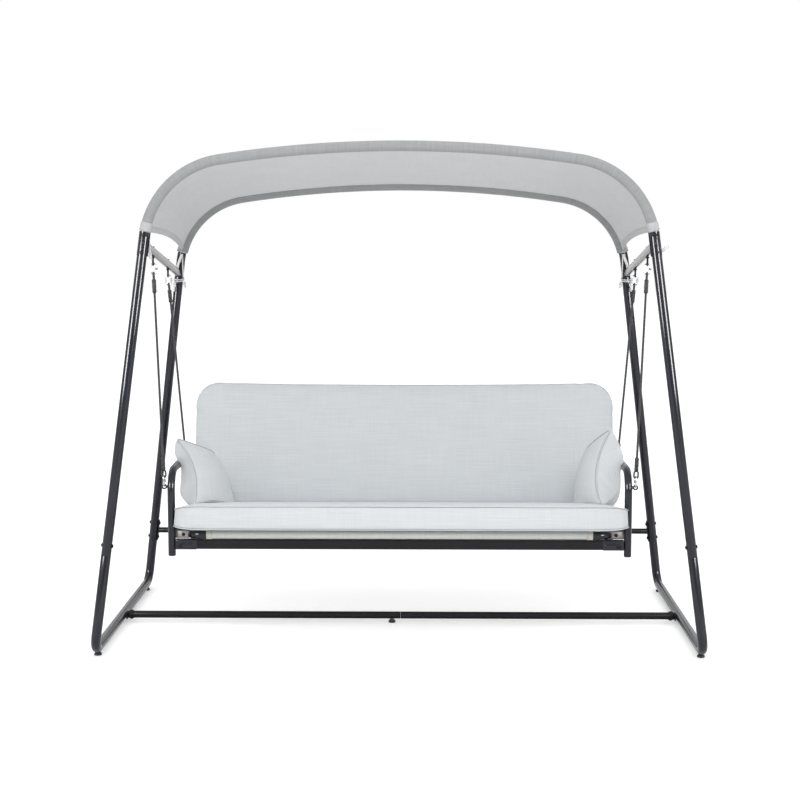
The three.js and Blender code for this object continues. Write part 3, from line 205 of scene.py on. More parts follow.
# Pads: height between seams, corner radius, rise of the crown, most that pressure adds, how far
# they lie to the right, and what they stand past the seat's solid at each end
COVER_EASE = 0.0008
COVER_STEP = 0.0135
PAD_PULL = 0.007
PAD_PRESSURE = 4.0
PAD_UNDER_CROWN = 0.001
PADS = {
    "seat": {"boxing": 0.093, "corner": 0.046, "crown": 0.001, "swell": 0.012,
             "aside": 0.005, "wider": 0.005},
    "back": {"boxing": 0.070, "corner": 0.112, "crown": 0.006, "swell": 0.022,
             "aside": 0.012, "wider": 0.020},
}
BACK_TUCK = 0.006
END_PINCH = 0.34

# How pads and pillows give way to the arms and their posts
POST_BULGE = 0.013
POST_NEAR = 0.028
POST_BEFORE = 0.020
ARM_FREE_RISE = 0.06
ARM_FREE_WIDE = 0.03
SOFT_PRESS = 0.006

# Seams
WELT_R = 0.0022
THREAD_R = 0.0008
THREAD_OUT = 0.0006
PILLOW_SEAM_OUT = 0.0014
PILLOW_THREAD_IN = 0.0016
PILLOW_THREAD_LIFT = 0.0028

# Pillows
PILLOW_SIZE = 0.336
PILLOW_THICK = 0.190
PILLOW_PULL = 0.030
PILLOW_SINK = 0.010
PILLOW_EASE = 0.003
PILLOW_CORNER = 0.010
PILLOW_STEP = 0.0085
PILLOW_SLACK = 0.006
PILLOW_PRESSURE = 8.0
PILLOW_SWELL = 0.020

# Each pillow's move from its solid's middle, its angles in degrees, size, and depths of bend and fold
PILLOWS = {
    "left": {"shift": (-0.010, -0.008, -0.072), "lean": 26, "turn": -23, "twist": -14, "size": 0.93,
             "plump": 0.97, "bend": 0.024, "fold": 0.062},
    "right": {"shift": (0.016, 0.0, -0.069), "lean": 13, "turn": 7.6, "twist": 19, "size": 0.99,
              "plump": 1.02, "bend": 0.024, "fold": 0.0},
}

# Cloth of the covers while they are blown up, and how firmly their seams are held
COVER_FRAMES = 20
COVER_CLOTH = {
    "quality": 4,
    "mass": 0.3,
    "tension_stiffness": 25,
    "compression_stiffness": 20,
    "shear_stiffness": 8,
    "bending_stiffness": 0.8,
    "use_pressure": True,
}
SEAM_HOLD = 0.35
LOWER_SEAM_HOLD = 0.85

SIDES = {"left": -1, "right": 1}
ENDS = {"front": -1, "rear": 1}
X_AXIS = np.array([1.0, 0.0, 0.0])
Y_AXIS = np.array([0.0, 1.0, 0.0])
Z_AXIS = np.array([0.0, 0.0, 1.0])


# Places read from the frame

def corners_of(node):
    """Every different corner of a CAD node, one row each."""
    mesh = frame["nodes"][node].data
    flat = np.empty(len(mesh.vertices) * 3, np.float32)
    mesh.vertices.foreach_get("co", flat)
    return np.unique(flat.reshape(-1, 3).astype(float).round(6), axis=0)


def box_of(node):
    """Lowest and highest corner of a CAD node as arrays."""
    low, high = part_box(node)
    return np.array(low), np.array(high)


def middle_of(node):
    """Middle of a CAD node's box."""
    return np.mean(box_of(node), axis=0)


def axis_ends(node, axis, reach=0.008):
    """Both ends of a straight tube's centre line: the mean of the corners within reach of each end
    along the axis of most length, where the end ring of a tube lies at a slant of up to reach."""
    points = corners_of(node)
    low, high = points[:, axis].min(), points[:, axis].max()
    first = points[points[:, axis] < low + reach].mean(axis=0)
    last = points[points[:, axis] > high - reach].mean(axis=0)
    return first, last


def unit(vector):
    """The vector, or each row of vectors, at length one."""
    return vector / np.linalg.norm(vector, axis=-1, keepdims=True)


def lengths_along(points):
    """How far each point lies along a row of points."""
    steps = np.linalg.norm(np.diff(points, axis=0), axis=1)
    return np.concatenate([[0.0], np.cumsum(steps)])


def picked(values, at, along):
    """Rows of values worked out at places along them."""
    return np.stack([np.interp(at, along, values[:, i]) for i in range(3)], axis=-1)


# Surfaces on a grid

class Shell:
    """Grids of points gathered into one mesh. Rows run along a grid, columns across or round it."""

    def __init__(self):
        self.points = []
        self.faces = []
        self.places = []
        self.size = 0

    def add(self, grid, around=False, ring=False, capped=False, uv=None):
        """Adds the quads between neighbouring points. around joins the last column to the first,
        ring the last row to the first, and capped closes each end row with one face. uv has one
        more column where the grid goes around, and one more row where it is a ring; without it, it
        is the mean distance across and along the grid, in metres."""
        rows, columns = grid.shape[:2]
        index = self.size + np.arange(rows * columns).reshape(rows, columns)
        if around:
            index = np.hstack([index, index[:, :1]])
        if ring:
            index = np.vstack([index, index[:1]])
        if uv is None:
            uv = laid_out(grid, around, ring)
        quads = self.corners(index).reshape(-1, 4)
        self.faces += quads.tolist()
        self.places.append(self.corners(uv).reshape(-1, 2))
        if capped:
            ends = [index[0, :columns][::-1], index[-1, :columns]]
            self.faces += [end.tolist() for end in ends]
            self.places.append(np.zeros((2 * columns, 2)))
        self.points.append(grid.reshape(-1, 3))
        self.size += rows * columns
        return self

    def solid(self, grid):
        """Adds a grid that goes around and is closed at both ends."""
        return self.add(grid, around=True, capped=True)

    def loop(self, grid):
        """Adds a grid that goes around both ways."""
        return self.add(grid, around=True, ring=True)

    @staticmethod
    def corners(values):
        """The four values round each quad of a grid, as the last but one axis of the answer."""
        return np.stack([values[:-1, :-1], values[:-1, 1:], values[1:, 1:], values[1:, :-1]], axis=2)

    def piece(self, name, finish, nodes=(), body=None, sharp=40):
        """The mesh as a named object in its finish, which rides with the nodes it stands for."""
        mesh = bpy.data.meshes.new(name)
        mesh.from_pydata(np.concatenate(self.points), [], self.faces)
        layer = mesh.uv_layers.new(name="UVMap")
        layer.data.foreach_set("uv", np.concatenate(self.places).astype(np.float32).ravel())
        mesh.shade_smooth()
        mesh.set_sharp_from_angle(angle=math.radians(sharp))
        obj = bpy.data.objects.new(name, mesh)
        bpy.context.scene.collection.objects.link(obj)
        mesh.materials.append(FINISHES[finish])
        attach(obj, body or frame["nodes"][nodes[0]]["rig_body"])
        if nodes:
            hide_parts(*nodes)
        return obj


def laid_out(grid, around, ring):
    """Flat places of a grid's points: the mean distance between columns and between rows, summed."""
    wide = np.concatenate([grid, grid[:, :1]], axis=1) if around else grid
    tall = np.concatenate([wide, wide[:1]], axis=0) if ring else wide
    across = np.linalg.norm(np.diff(tall, axis=1), axis=2).mean(axis=0)
    along = np.linalg.norm(np.diff(tall, axis=0), axis=2).mean(axis=1)
    u, v = (np.concatenate([[0.0], np.cumsum(steps)]) for steps in (across, along))
    return np.stack(np.meshgrid(u, v), axis=2)


# Paths and sections

def straight(start, stop, steps=1):
    """Evenly spaced points from start to stop, each with the same direction."""
    shares = np.linspace(0, 1, steps + 1)[:, None]
    points = start + (stop - start) * shares
    return points, np.broadcast_to(unit(stop - start), points.shape)


def bent(corners, radius, steps=12):
    """Straight lengths between corners, with an arc of the radius at each inner corner. An arc
    that turns by an angle leaves the first length at radius x tan(angle / 2) before the corner."""
    corners = [np.asarray(corner, float) for corner in corners]
    points = [corners[0][None]]
    directions = [unit(corners[1] - corners[0])[None]]
    for before, corner, after in zip(corners, corners[1:], corners[2:]):
        into, out = unit(corner - before), unit(after - corner)
        turn = math.acos(np.clip(into @ out, -1, 1))
        towards = unit(out - into * (into @ out))
        angle = np.linspace(0, turn, steps + 1)[:, None]
        start = corner - into * radius * math.tan(turn / 2)
        points.append(start + radius * (into * np.sin(angle) + towards * (1 - np.cos(angle))))
        directions.append(into * np.cos(angle) + towards * np.sin(angle))
    points.append(corners[-1][None])
    directions.append(unit(corners[-1] - corners[-2])[None])
    return np.concatenate(points), np.concatenate(directions)


def circle(radius, sides=32, start=0.0):
    """A round section, or one for each radius of a column of radii."""
    angle = start + np.arange(sides) * 2 * math.pi / sides
    return np.asarray(radius, float)[..., None, None] * np.stack([np.cos(angle), np.sin(angle)], axis=1)


def rounded_box(wide, tall, radius, steps=5):
    """A rectangle with a quarter circle at each corner, counted round from the first corner."""
    angle = np.linspace(0, math.pi / 2, steps + 1)
    quarters = angle + np.arange(4)[:, None] * math.pi / 2
    middles = np.array([[1, 1], [-1, 1], [-1, -1], [1, -1]]) * [wide / 2 - radius, tall / 2 - radius]
    round_points = np.stack([np.cos(quarters), np.sin(quarters)], axis=2) * radius
    return (middles[:, None] + round_points).reshape(-1, 2)


def carried(path, side, section):
    """The section carried along the path: point + x * side + y * (direction x side)."""
    points, directions = path
    side = np.broadcast_to(side, points.shape)
    up = np.cross(directions, side)
    return points[:, None] + section[..., :1] * side[:, None] + section[..., 1:] * up[:, None]


def rolled(radius, edge=ROLLED_EDGE):
    """A tube's cut end with its edge rounded over a quarter circle: rows of inset and radius."""
    angle = np.linspace(0, math.pi / 2, 4)
    return [(edge * (1 - math.sin(a)), radius - edge * (1 - math.cos(a))) for a in angle[::-1]]


def socket(radius, bore, depth):
    """A cut end that goes on inwards at the bore radius: the next tube's spigot sits in it."""
    return [(-depth, bore), (0.0, bore)] + rolled(radius)


def pipe(path, side, radius, start=None, stop=None, sides=32):
    """A round tube along a path. start and stop are its ends, as rows of inset and radius from the
    outermost inwards; an inset under zero reaches past the end of the path."""
    points, directions = path
    start = rolled(radius) if start is None else start
    stop = rolled(radius) if stop is None else stop
    first = [points[0] + directions[0] * inset for inset, _ in start]
    last = [points[-1] - directions[-1] * inset for inset, _ in stop[::-1]]
    rows = np.concatenate([first, points[1:-1], last])
    ways = np.concatenate([
        np.repeat(directions[:1], len(start), axis=0),
        directions[1:-1],
        np.repeat(directions[-1:], len(stop), axis=0),
    ])
    radii = [r for _, r in start] + [radius] * (len(points) - 2) + [r for _, r in stop[::-1]]
    return carried((rows, ways), side, circle(radii, sides))


def square_to(direction):
    """Any unit vector square to the one given."""
    start = Z_AXIS if abs(direction[2]) < 0.8 else X_AXIS
    return unit(start - direction * (start @ direction))


def turned(at, direction, profile, sides=24, start=0.0):
    """A solid of revolution: rows of (distance along the axis, radius), first to last."""
    direction = unit(np.asarray(direction, float))
    along, radii = np.array(profile, float).T
    rows = at + along[:, None] * direction
    ways = np.broadcast_to(direction, rows.shape)
    return carried((rows, ways), square_to(direction), circle(radii, sides, start))


def oval_ring(centre, wide, tall, radius, length, wire, steps=40, sides=14):
    """A closed ring of wire: a circle of the radius in the plane of two unit vectors, with its
    halves moved apart along the second until it has the length, centre of wire to centre."""
    angle = np.linspace(0, 2 * math.pi, steps, endpoint=False)
    stretch = (length / 2 - radius) * np.sign(np.sin(angle) + 1e-9)[:, None]
    outward = np.cos(angle)[:, None] * wide + np.sin(angle)[:, None] * tall
    rows = centre + outward * radius + stretch * tall
    ways = np.cos(angle)[:, None] * tall - np.sin(angle)[:, None] * wide
    return carried((rows, ways), np.cross(wide, tall), circle(wire, sides))


def plate(centre, normal, up, wide, tall, thick, radius, edge=0.0005):
    """A flat plate with round corners and softened edges, square to its normal."""
    normal, up = unit(normal), unit(up)
    side = np.cross(up, normal)
    levels = [(-thick / 2, edge), (-thick / 2 + edge, 0.0), (thick / 2 - edge, 0.0), (thick / 2, edge)]
    rows = np.array([centre + normal * level for level, _ in levels])
    sections = np.stack([rounded_box(wide - 2 * inset, tall - 2 * inset, radius) for _, inset in levels])
    return carried((rows, np.broadcast_to(normal, rows.shape)), side, sections)


def dome(radius, tall, steps=6):
    """Profile of a low dome, from its seat to its top."""
    angle = np.linspace(0, math.pi / 2, steps + 1)[:-1]
    return [(tall * math.sin(a), radius * math.cos(a)) for a in angle] + [(tall, radius * 0.02)]


def washered(seat_r, rim_r, washer_tall, head_r, head_tall):
    """Profile of a domed bolt head on its washer."""
    rim = [(0.0, seat_r), (washer_tall, rim_r)]
    return rim + [(washer_tall + level, r) for level, r in dome(head_r, head_tall)]


# Shaders

class Value:
    """A socket in a node tree. Sums, differences and products of values add Math nodes."""

    def __init__(self, shader, socket):
        self.shader = shader
        self.socket = socket

    def math(self, operation, *others):
        inputs = dict(enumerate((self,) + others))
        return self.shader.node("ShaderNodeMath", {"operation": operation}, inputs)

    def __add__(self, other):
        return self.math("ADD", other)

    def __sub__(self, other):
        return self.math("SUBTRACT", other)

    def __rsub__(self, other):
        return self.shader.node("ShaderNodeMath", {"operation": "SUBTRACT"}, {0: other, 1: self})

    def __mul__(self, other):
        return self.math("MULTIPLY", other)

    __radd__ = __add__
    __rmul__ = __mul__


class Tree:
    """A node tree to which nodes are added one by one."""

    def __init__(self, tree):
        self.tree = tree

    def node(self, kind, settings=None, inputs=None, output=0):
        """One node of the kind: its settings are set first, then its sockets are given a number, a
        colour or a link. A ramp's stops are rows of place and colour."""
        node = self.tree.nodes.new(kind)
        for setting, value in (settings or {}).items():
            if setting == "stops":
                for i, (place, colour) in enumerate(value):
                    stop = node.color_ramp.elements[i] if i < 2 else node.color_ramp.elements.new(place)
                    stop.position = place
                    stop.color = colour
            else:
                setattr(node, setting, value)
        for socket, value in (inputs or {}).items():
            self.feed(node.inputs[socket], value)
        return Value(self, node.outputs[output])

    def feed(self, socket, value):
        """Links a value to a socket, or sets the socket to it."""
        if isinstance(value, Value):
            self.tree.links.new(value.socket, socket)
        else:
            socket.default_value = value

    def noise(self, places, scale, detail=2.0, roughness=0.5):
        """Smooth noise from zero to one."""
        return self.node("ShaderNodeTexNoise", None, {
            "Vector": places, "Scale": scale, "Detail": detail, "Roughness": roughness,
        })

    def spread(self, value, low, high, to_low=0.0, to_high=1.0):
        """Maps a value from one range to another and keeps it there."""
        return self.node("ShaderNodeMapRange", {"clamp": True}, {
            "Value": value, "From Min": low, "From Max": high, "To Min": to_low, "To Max": to_high,
        })

    def blend(self, share, first, second, how="MIX"):
        """Mixes two colours."""
        return self.node(
            "ShaderNodeMix", {"data_type": "RGBA", "blend_type": how, "clamp_factor": True},
            {0: share, 6: first, 7: second}, 2,
        )


class Shader(Tree):
    """A material's node tree and its Principled shader."""

    def __init__(self, name, **fixed):
        self.material = bpy.data.materials.new(name)
        self.material.use_nodes = True
        super().__init__(self.material.node_tree)
        self.surface = self.tree.nodes["Principled BSDF"]
        for socket, value in fixed.items():
            self.surface.inputs[socket.replace("_", " ")].default_value = value

    def out(self, socket, value):
        """Feeds one of the surface's own sockets."""
        self.feed(self.surface.inputs[socket], value)

    def places(self, source="Object", scale=(1, 1, 1), turn=0.0):
        """Places on the piece, by Object coordinates or by its UV map, scaled and turned."""
        start = self.node("ShaderNodeTexCoord", None, None, source)
        return self.node("ShaderNodeMapping", None, {"Vector": start, "Scale": scale,
                                                     "Rotation": (0, 0, turn)})

    def bump(self, height, distance, strength=1.0):
        """Feeds a height in shares of the distance to the surface's Normal."""
        normal = self.node("ShaderNodeBump", None, {
            "Height": height, "Distance": distance, "Strength": strength,
        })
        self.out("Normal", normal)


def grey(level):
    """A neutral colour."""
    return (level, level, level, 1.0)


def toned(colour, factor=1.0, lift=0.0):
    """A colour times a factor, plus a lift."""
    return tuple(min(1.0, c * factor + lift) for c in colour) + (1.0,)


def paint(name, colour, roughness, gloss):
    """Powder coat: a faint orange peel, a slow change of tone and dull marks where hands rub."""
    shader = Shader(name, Metallic=0.0, Coat_Weight=gloss, Coat_Roughness=0.12,
                    Coat_IOR=1.42, Specular_IOR_Level=0.1)
    places = shader.places()
    tone = shader.noise(places, 6.0, 3.0)
    share = shader.spread(tone, 0.35, 0.7)
    shader.out("Base Color", shader.blend(share, toned(colour), toned(colour, 1.5)))
    rubbed = shader.spread(shader.noise(places, 38.0, 4.0, 0.6), 0.52, 0.72)
    shader.out("Roughness", rubbed * 0.12 + roughness)
    shader.bump(shader.noise(places, 620.0, 2.0), 0.00018)
    return shader.material


def plated(name, colour, roughness):
    """Bright plate: clear metal with cloudy patches and fine drawing lines."""
    shader = Shader(name, Metallic=1.0)
    places = shader.places()
    cloud = shader.spread(shader.noise(places, 90.0, 3.0), 0.35, 0.7)
    shader.out("Base Color", shader.blend(cloud, toned(colour), toned(colour, 0.72)))
    shader.out("Roughness", cloud * 0.18 + roughness)
    shader.bump(shader.noise(shader.places("Object", (1, 1, 6)), 700.0, 2.0), 0.00006)
    return shader.material


def moulded(name, colour):
    """Moulded plastic with a fine spark-eroded grain."""
    shader = Shader(name, Specular_IOR_Level=0.4)
    places = shader.places()
    tone = shader.spread(shader.noise(places, 30.0, 3.0), 0.4, 0.7)
    shader.out("Base Color", shader.blend(tone, toned(colour), toned(colour, 1.6, 0.004)))
    shader.out("Roughness", tone * 0.12 + 0.48)
    shader.bump(shader.noise(places, 1500.0, 2.0), 0.00012)
    return shader.material


def wave(shader, places, across, pitch):
    """A smooth wave from zero to one across one axis of the places, one crest every pitch."""
    parts = shader.node("ShaderNodeSeparateXYZ", None, {"Vector": places}, across)
    return (parts * (2 * math.pi / pitch)).math("SINE") * 0.5 + 0.5


def braided(name, colour):
    """Braided cord: two sets of strands that cross at a slant, each a soft ridge. Ridge tops are
    painted paler and the grooves darker: painted highlight and painted shade.
    """
    shader = Shader(name, Roughness=0.8, Sheen_Weight=0.25, Sheen_Roughness=0.5)
    strands = [wave(shader, shader.places("UV", (1, 1, 1), turn), 0, 0.0021) for turn in (0.6, -0.6)]
    ridge = strands[0].math("MAXIMUM", strands[1])
    # Painted highlight on the strands' tops, painted shade in the grooves between them.
    shader.out("Base Color", shader.blend(ridge, toned(colour), toned(colour, 2.6, 0.01)))
    shader.bump(ridge, 0.0006)
    return shader.material


def woven(name, colour, pitch, slub):
    """Plain weave: warp and weft cross over and under each other, with slubs along the weft where
    the yarn is thicker and paler, a slow change of tone over the cloth, and painted shade that
    makes the low places between threads up to a tenth darker."""
    shader = Shader(name, Roughness=0.9, Sheen_Weight=0.15, Sheen_Roughness=0.45)
    places = shader.places("UV")
    warp = wave(shader, places, 0, pitch)
    weft = wave(shader, places, 1, pitch)
    over = wave(shader, shader.places("UV", (1, 1, 1), math.pi / 4), 0, pitch * math.sqrt(2))
    thread = warp * over + weft * (1 - over)
    streak = shader.noise(shader.places("UV", (5.0, 240.0, 1)), 1.0, 3.0, 0.55)
    upright = shader.noise(shader.places("UV", (200.0, 7.0, 1)), 1.0, 2.0, 0.5)
    cloudy = shader.noise(places, 9.0, 2.0)
    yarn = shader.spread(streak, 0.34, 0.66) * 0.7 + shader.spread(upright, 0.34, 0.66) * 0.3
    tone = shader.blend(yarn, toned(colour, 1 - slub), toned(colour, 1 + slub * 0.6))
    # Cloudy tone times painted shade: the dips between threads are darkened by up to a tenth.
    tone_and_painted_shade = shader.spread(cloudy, 0.3, 0.7, 0.97, 1.0) * shader.spread(thread, 0.0, 0.8, 0.9, 1.0)
    tint = shader.node("ShaderNodeCombineColor", None, {0: tone_and_painted_shade, 1: tone_and_painted_shade, 2: tone_and_painted_shade})
    shader.out("Base Color", shader.blend(1.0, tone, tint, "MULTIPLY"))
    shader.bump(thread * 0.7 + yarn * 0.5, pitch * 0.25)
    return shader.material


FINISHES = {
    "dark_paint": paint("dark_paint", (0.0060, 0.0066, 0.0130), 0.5, 0.9),
    "bar_paint": paint("bar_paint", (0.0060, 0.0058, 0.0075), 0.5, 0.3),
    "zinc_plate": plated("zinc_plate", (0.66, 0.67, 0.68), 0.16),
    "dull_zinc": plated("dull_zinc", (0.30, 0.295, 0.28), 0.42),
    "black_steel": paint("black_steel", (0.010, 0.010, 0.011), 0.35, 0.2),
    "black_plastic": moulded("black_plastic", (0.010, 0.010, 0.011)),
    "black_rope": braided("black_rope", (0.010, 0.010, 0.012)),
    "canopy_cloth": woven("canopy_cloth", (0.67, 0.675, 0.68), 0.0022, 0.05),
    # Pocket finish at about half the sheet's tone: partly the real double ply, partly painted shade under the
    # hoops.
    "canopy_pocket_ply_and_painted_shade": woven("canopy_pocket_ply_and_painted_shade", (0.345, 0.355, 0.36), 0.0026, 0.12),
    "sling_cloth": woven("sling_cloth", (0.60, 0.61, 0.58), 0.0024, 0.06),
    "cushion_cloth": woven("cushion_cloth", (0.68, 0.71, 0.73), 0.0012, 0.07),
    "pillow_cloth": woven("pillow_cloth", (0.67, 0.70, 0.72), 0.0012, 0.07),
    "canopy_hem": woven("canopy_hem", (0.58, 0.585, 0.59), 0.0022, 0.06),
    "knit_cuff": woven("knit_cuff", (0.54, 0.545, 0.56), 0.0035, 0.12),
    "sling_hem": woven("sling_hem", (0.58, 0.56, 0.50), 0.0024, 0.06),
    "seam_thread": woven("seam_thread", (0.30, 0.31, 0.32), 0.0012, 0.05),
    "tie_tape": woven("tie_tape", (0.82, 0.82, 0.82), 0.0012, 0.05),
}


# Stand

LEG_ENDS = {(s, e): axis_ends(f"{s}_{e}_upper_leg", 2) for s in SIDES for e in ENDS}
RAIL_Z = box_of("left_lower_frame")[0][2] + TUBE_R


def leg_at(side, end, z):
    """The point of a leg's centre line at a height."""
    foot, top = LEG_ENDS[side, end]
    return foot + (top - foot) * (z - foot[2]) / (top[2] - foot[2])


def frame_normal(side):
    """The unit vector square to one side frame's plane, towards +X."""
    foot, top = LEG_ENDS[side, "front"]
    return unit(np.cross(Y_AXIS, top - foot))


def make_side_frames():
    """Each side frame: the bent lower tube with its floor bar's flange, and two upper legs."""
    spigot = socket(TUBE_R, SPIGOT_R, SPIGOT_DEPTH)
    for side, sign in SIDES.items():
        normal = frame_normal(side)
        tops = {end: LEG_ENDS[side, end][0][2] - GAP for end in ENDS}
        path = bent([
            leg_at(side, "front", tops["front"]),
            leg_at(side, "front", RAIL_Z),
            leg_at(side, "rear", RAIL_Z),
            leg_at(side, "rear", tops["rear"]),
        ], LOWER_BEND_R, 20)
        shell = Shell().solid(pipe(path, normal, TUBE_R, spigot, spigot, 40))
        inner = leg_at(side, "front", RAIL_Z)[0] - sign * (TUBE_R + FLANGE_INSET)
        flange = np.array([inner, middle_of(f"{side}_floor_bar")[1], RAIL_Z])
        shell.solid(plate(flange, X_AXIS, Z_AXIS, *FLOOR_FLANGE))
        shell.piece(f"{side}_bent_tube", "dark_paint", [f"{side}_lower_frame"])
        for end in ENDS:
            leg = pipe(straight(*LEG_ENDS[side, end]), normal, TUBE_R, sides=40)
            Shell().solid(leg).piece(f"{side}_{end}_leg", "dark_paint", [f"{side}_{end}_upper_leg"])


def hoop_line(end, steps=240):
    """Fine points along a hoop with outward directions. In the raked plane of the two legs a
    corner arc leaves each leg and meets the long crown arc with no kink: its radius is
    (crown² - reach²) / (2 (reach · inward + crown)), reach running from the crown's centre to the
    foot of the corner."""
    feet = {side: LEG_ENDS[side, end][1] for side in SIDES}
    middle = (feet["left"] + feet["right"]) / 2
    half = feet["right"][0] - middle[0]
    leg = unit(feet["right"] - LEG_ENDS["right", end][0])
    upwards = unit(leg - X_AXIS * leg[0])
    top = box_of(f"{end}_canopy_hoop")[1][2] - TUBE_R * upwards[2]
    rise = (top - middle[2]) / upwards[2]
    inward = unit(np.array([-(leg @ upwards), leg[0]]))
    crown = np.array([0.0, rise - CROWN_R])
    reach = np.array([half, 0.0]) - crown
    corner_r = (CROWN_R**2 - reach @ reach) / (2 * (reach @ inward + CROWN_R))
    corner = np.array([half, 0.0]) + inward * corner_r
    leg_angle = math.atan2(-inward[1], -inward[0])
    crown_angle = math.atan2(*(corner - crown)[::-1])
    turn = np.linspace(leg_angle, crown_angle, steps // 4)
    over = np.linspace(crown_angle, math.pi / 2, steps // 4)[1:]
    right = np.concatenate([
        corner + corner_r * np.stack([np.cos(turn), np.sin(turn)], axis=1),
        crown + CROWN_R * np.stack([np.cos(over), np.sin(over)], axis=1),
    ])
    angle = np.concatenate([turn, over])
    flat = np.concatenate([right, (right * [-1, 1])[-2::-1]])
    angle = np.concatenate([angle, (math.pi - angle)[-2::-1]])
    points = middle + flat[:, :1] * X_AXIS + flat[:, 1:] * upwards
    outward = np.cos(angle)[:, None] * X_AXIS + np.sin(angle)[:, None] * upwards
    return points, outward


def make_hoops():
    """Both hoops, each with spigots that sit in the legs."""
    spigot = socket(TUBE_R, SPIGOT_R, SPIGOT_DEPTH)
    for end in ENDS:
        fine, fine_outward = hoop_line(end)
        length = lengths_along(fine)
        at = np.linspace(0, 1, 121) * length[-1]
        points = picked(fine, at, length)
        outward = unit(picked(fine_outward, at, length))
        directions = unit(np.gradient(points, axis=0))
        side = unit(np.cross(outward[60], directions[60]))
        Shell().solid(pipe((points, directions), side, TUBE_R, spigot, spigot, 28)).piece(
            f"{end}_hoop", "dark_paint", [f"{end}_canopy_hoop"])


def bar_line(side):
    """Front and rear end of a side bar: the points of its two bolts' line that lie on the legs."""
    first, last = (middle_of(f"{side}_{end}_bar_bolt") for end in ENDS)
    ends = []
    for end in ENDS:
        share = closest(first, last, *LEG_ENDS[side, end])
        ends.append(first + (last - first) * share)
    return ends


def closest(first, last, foot, top):
    """Share along one line that lies nearest to another, from the two lines' normal equations."""
    along, rise, apart = last - first, top - foot, foot - first
    system = np.array([[along @ along, -(along @ rise)], [along @ rise, -(rise @ rise)]])
    return np.linalg.solve(system, [along @ apart, rise @ apart])[0]


def make_side_bars():
    """Flat-sided oval bars, whose ends are pressed flat against the legs."""
    for side in SIDES:
        front, rear = bar_line(side)
        along = unit(rear - front)
        across = unit(np.cross(along, Z_AXIS))
        start = front + along * (TUBE_R - 0.003)
        stop = rear - along * (TUBE_R - 0.003)
        section = rounded_box(SIDE_BAR_WIDE, SIDE_BAR_TALL, SIDE_BAR_WIDE / 2 - 0.0005, 8)
        rows, ways = straight(start, stop, 24)
        Shell().solid(carried((rows, ways), across, section)).piece(
            f"{side}_top_bar", "dark_paint", [f"{side}_side_bar"])


def make_floor_bars():
    """The floor bar's halves, each with a collar and its two bolts, and the rear bar with its plates."""
    for side, sign in SIDES.items():
        low, high = box_of(f"{side}_floor_bar")
        y, z = middle_of(f"{side}_floor_bar")[1:]
        end = np.array([low[0] if sign < 0 else high[0], y, z])
        shell = Shell().solid(pipe(straight(end, np.array([sign * GAP, y, z])), Z_AXIS, FLOOR_BAR_R))
        shell.solid(turned(end, -sign * X_AXIS, COLLAR_PROFILE, 32))
        for way in (Z_AXIS, -Z_AXIS):
            head = [(0.0, HEAD_R)] + dome(HEAD_R - 0.001, HEAD_TALL)
            seat = end - sign * X_AXIS * 0.014 + way * (FLOOR_BAR_R + 0.001)
            shell.solid(turned(seat, way, head))
        shell.piece(f"{side}_bottom_bar", "bar_paint", [f"{side}_floor_bar"])
    legs = [leg_at(side, "rear", REAR_BAR_Z) for side in SIDES]
    normals = [frame_normal(side) * -sign for side, sign in SIDES.items()]
    ends = [leg + normal * (TUBE_R + 2 * GAP) for leg, normal in zip(legs, normals)]
    shell = Shell().solid(pipe(straight(*ends), Z_AXIS, CROSS_BAR_R))
    for side, leg, normal in zip(SIDES, legs, normals):
        foot, top = LEG_ENDS[side, "rear"]
        centre = leg + normal * (TUBE_R + GAP + CROSS_PLATE[2] / 2)
        shell.solid(plate(centre, normal, unit(top - foot), *CROSS_PLATE))
    shell.piece("rear_bottom_bar", "bar_paint", ["rear_cross_bar"])


def bolt(shell, head_seat, nut_seat, head_r=HEAD_R, nut_r=HEAD_R):
    """A domed bolt with washers at both seats, a hexagon nut and a short end of thread."""
    along = unit(nut_seat - head_seat)
    grip = np.linalg.norm(nut_seat - head_seat)
    washer = [(0.0, 0.003), (0.0, head_r - 0.0004), (0.0003, head_r), (0.0010, head_r),
              (0.0012, head_r - 0.0003), (0.0012, 0.003)]
    shell.solid(turned(head_seat, -along, washer))
    head = [(0.0012, BOLT_R)] + [(0.0012 + z, r) for z, r in dome(head_r - 0.0008, HEAD_TALL - 0.0012)]
    shell.solid(turned(head_seat, -along, head))
    shell.solid(turned(nut_seat, along, washer))
    nut = [(0.0012, nut_r - 0.0016), (0.0016, nut_r - 0.0006), (HEAD_TALL - 0.001, nut_r - 0.0006),
           (HEAD_TALL - 0.0004, nut_r - 0.0018)]
    shell.solid(turned(nut_seat, along, nut, 6))
    thread = [(-grip, BOLT_R - 0.0004), (HEAD_TALL - 0.0006, BOLT_R - 0.0004), (HEAD_TALL, BOLT_R - 0.0012)]
    shell.solid(turned(nut_seat, along, thread, 16))
    return shell


def through_bolt(node, way, finish, **radii):
    """A node's bolt along a direction, from its head at the far end to the nut."""
    reach = corners_of(node) @ way
    middle = middle_of(node)
    head = middle + way * (reach.max() - HEAD_TALL - middle @ way)
    nut = middle + way * (reach.min() + HEAD_TALL - middle @ way)
    bolt(Shell(), head, nut, **radii).piece(f"{node}_set", finish, [node])


def make_bolts():
    """The bolts through the leg joints and those that hold the side bars."""
    for side, sign in SIDES.items():
        for name in ("front_joint_bolt", "rear_lower_bolt", "rear_upper_bolt"):
            through_bolt(f"{side}_{name}", frame_normal(side) * sign, "black_steel")
        front, rear = bar_line(side)
        for end, sense in ENDS.items():
            through_bolt(f"{side}_{end}_bar_bolt", unit(rear - front) * sense, "dark_paint",
                         head_r=0.0052, nut_r=0.0056)


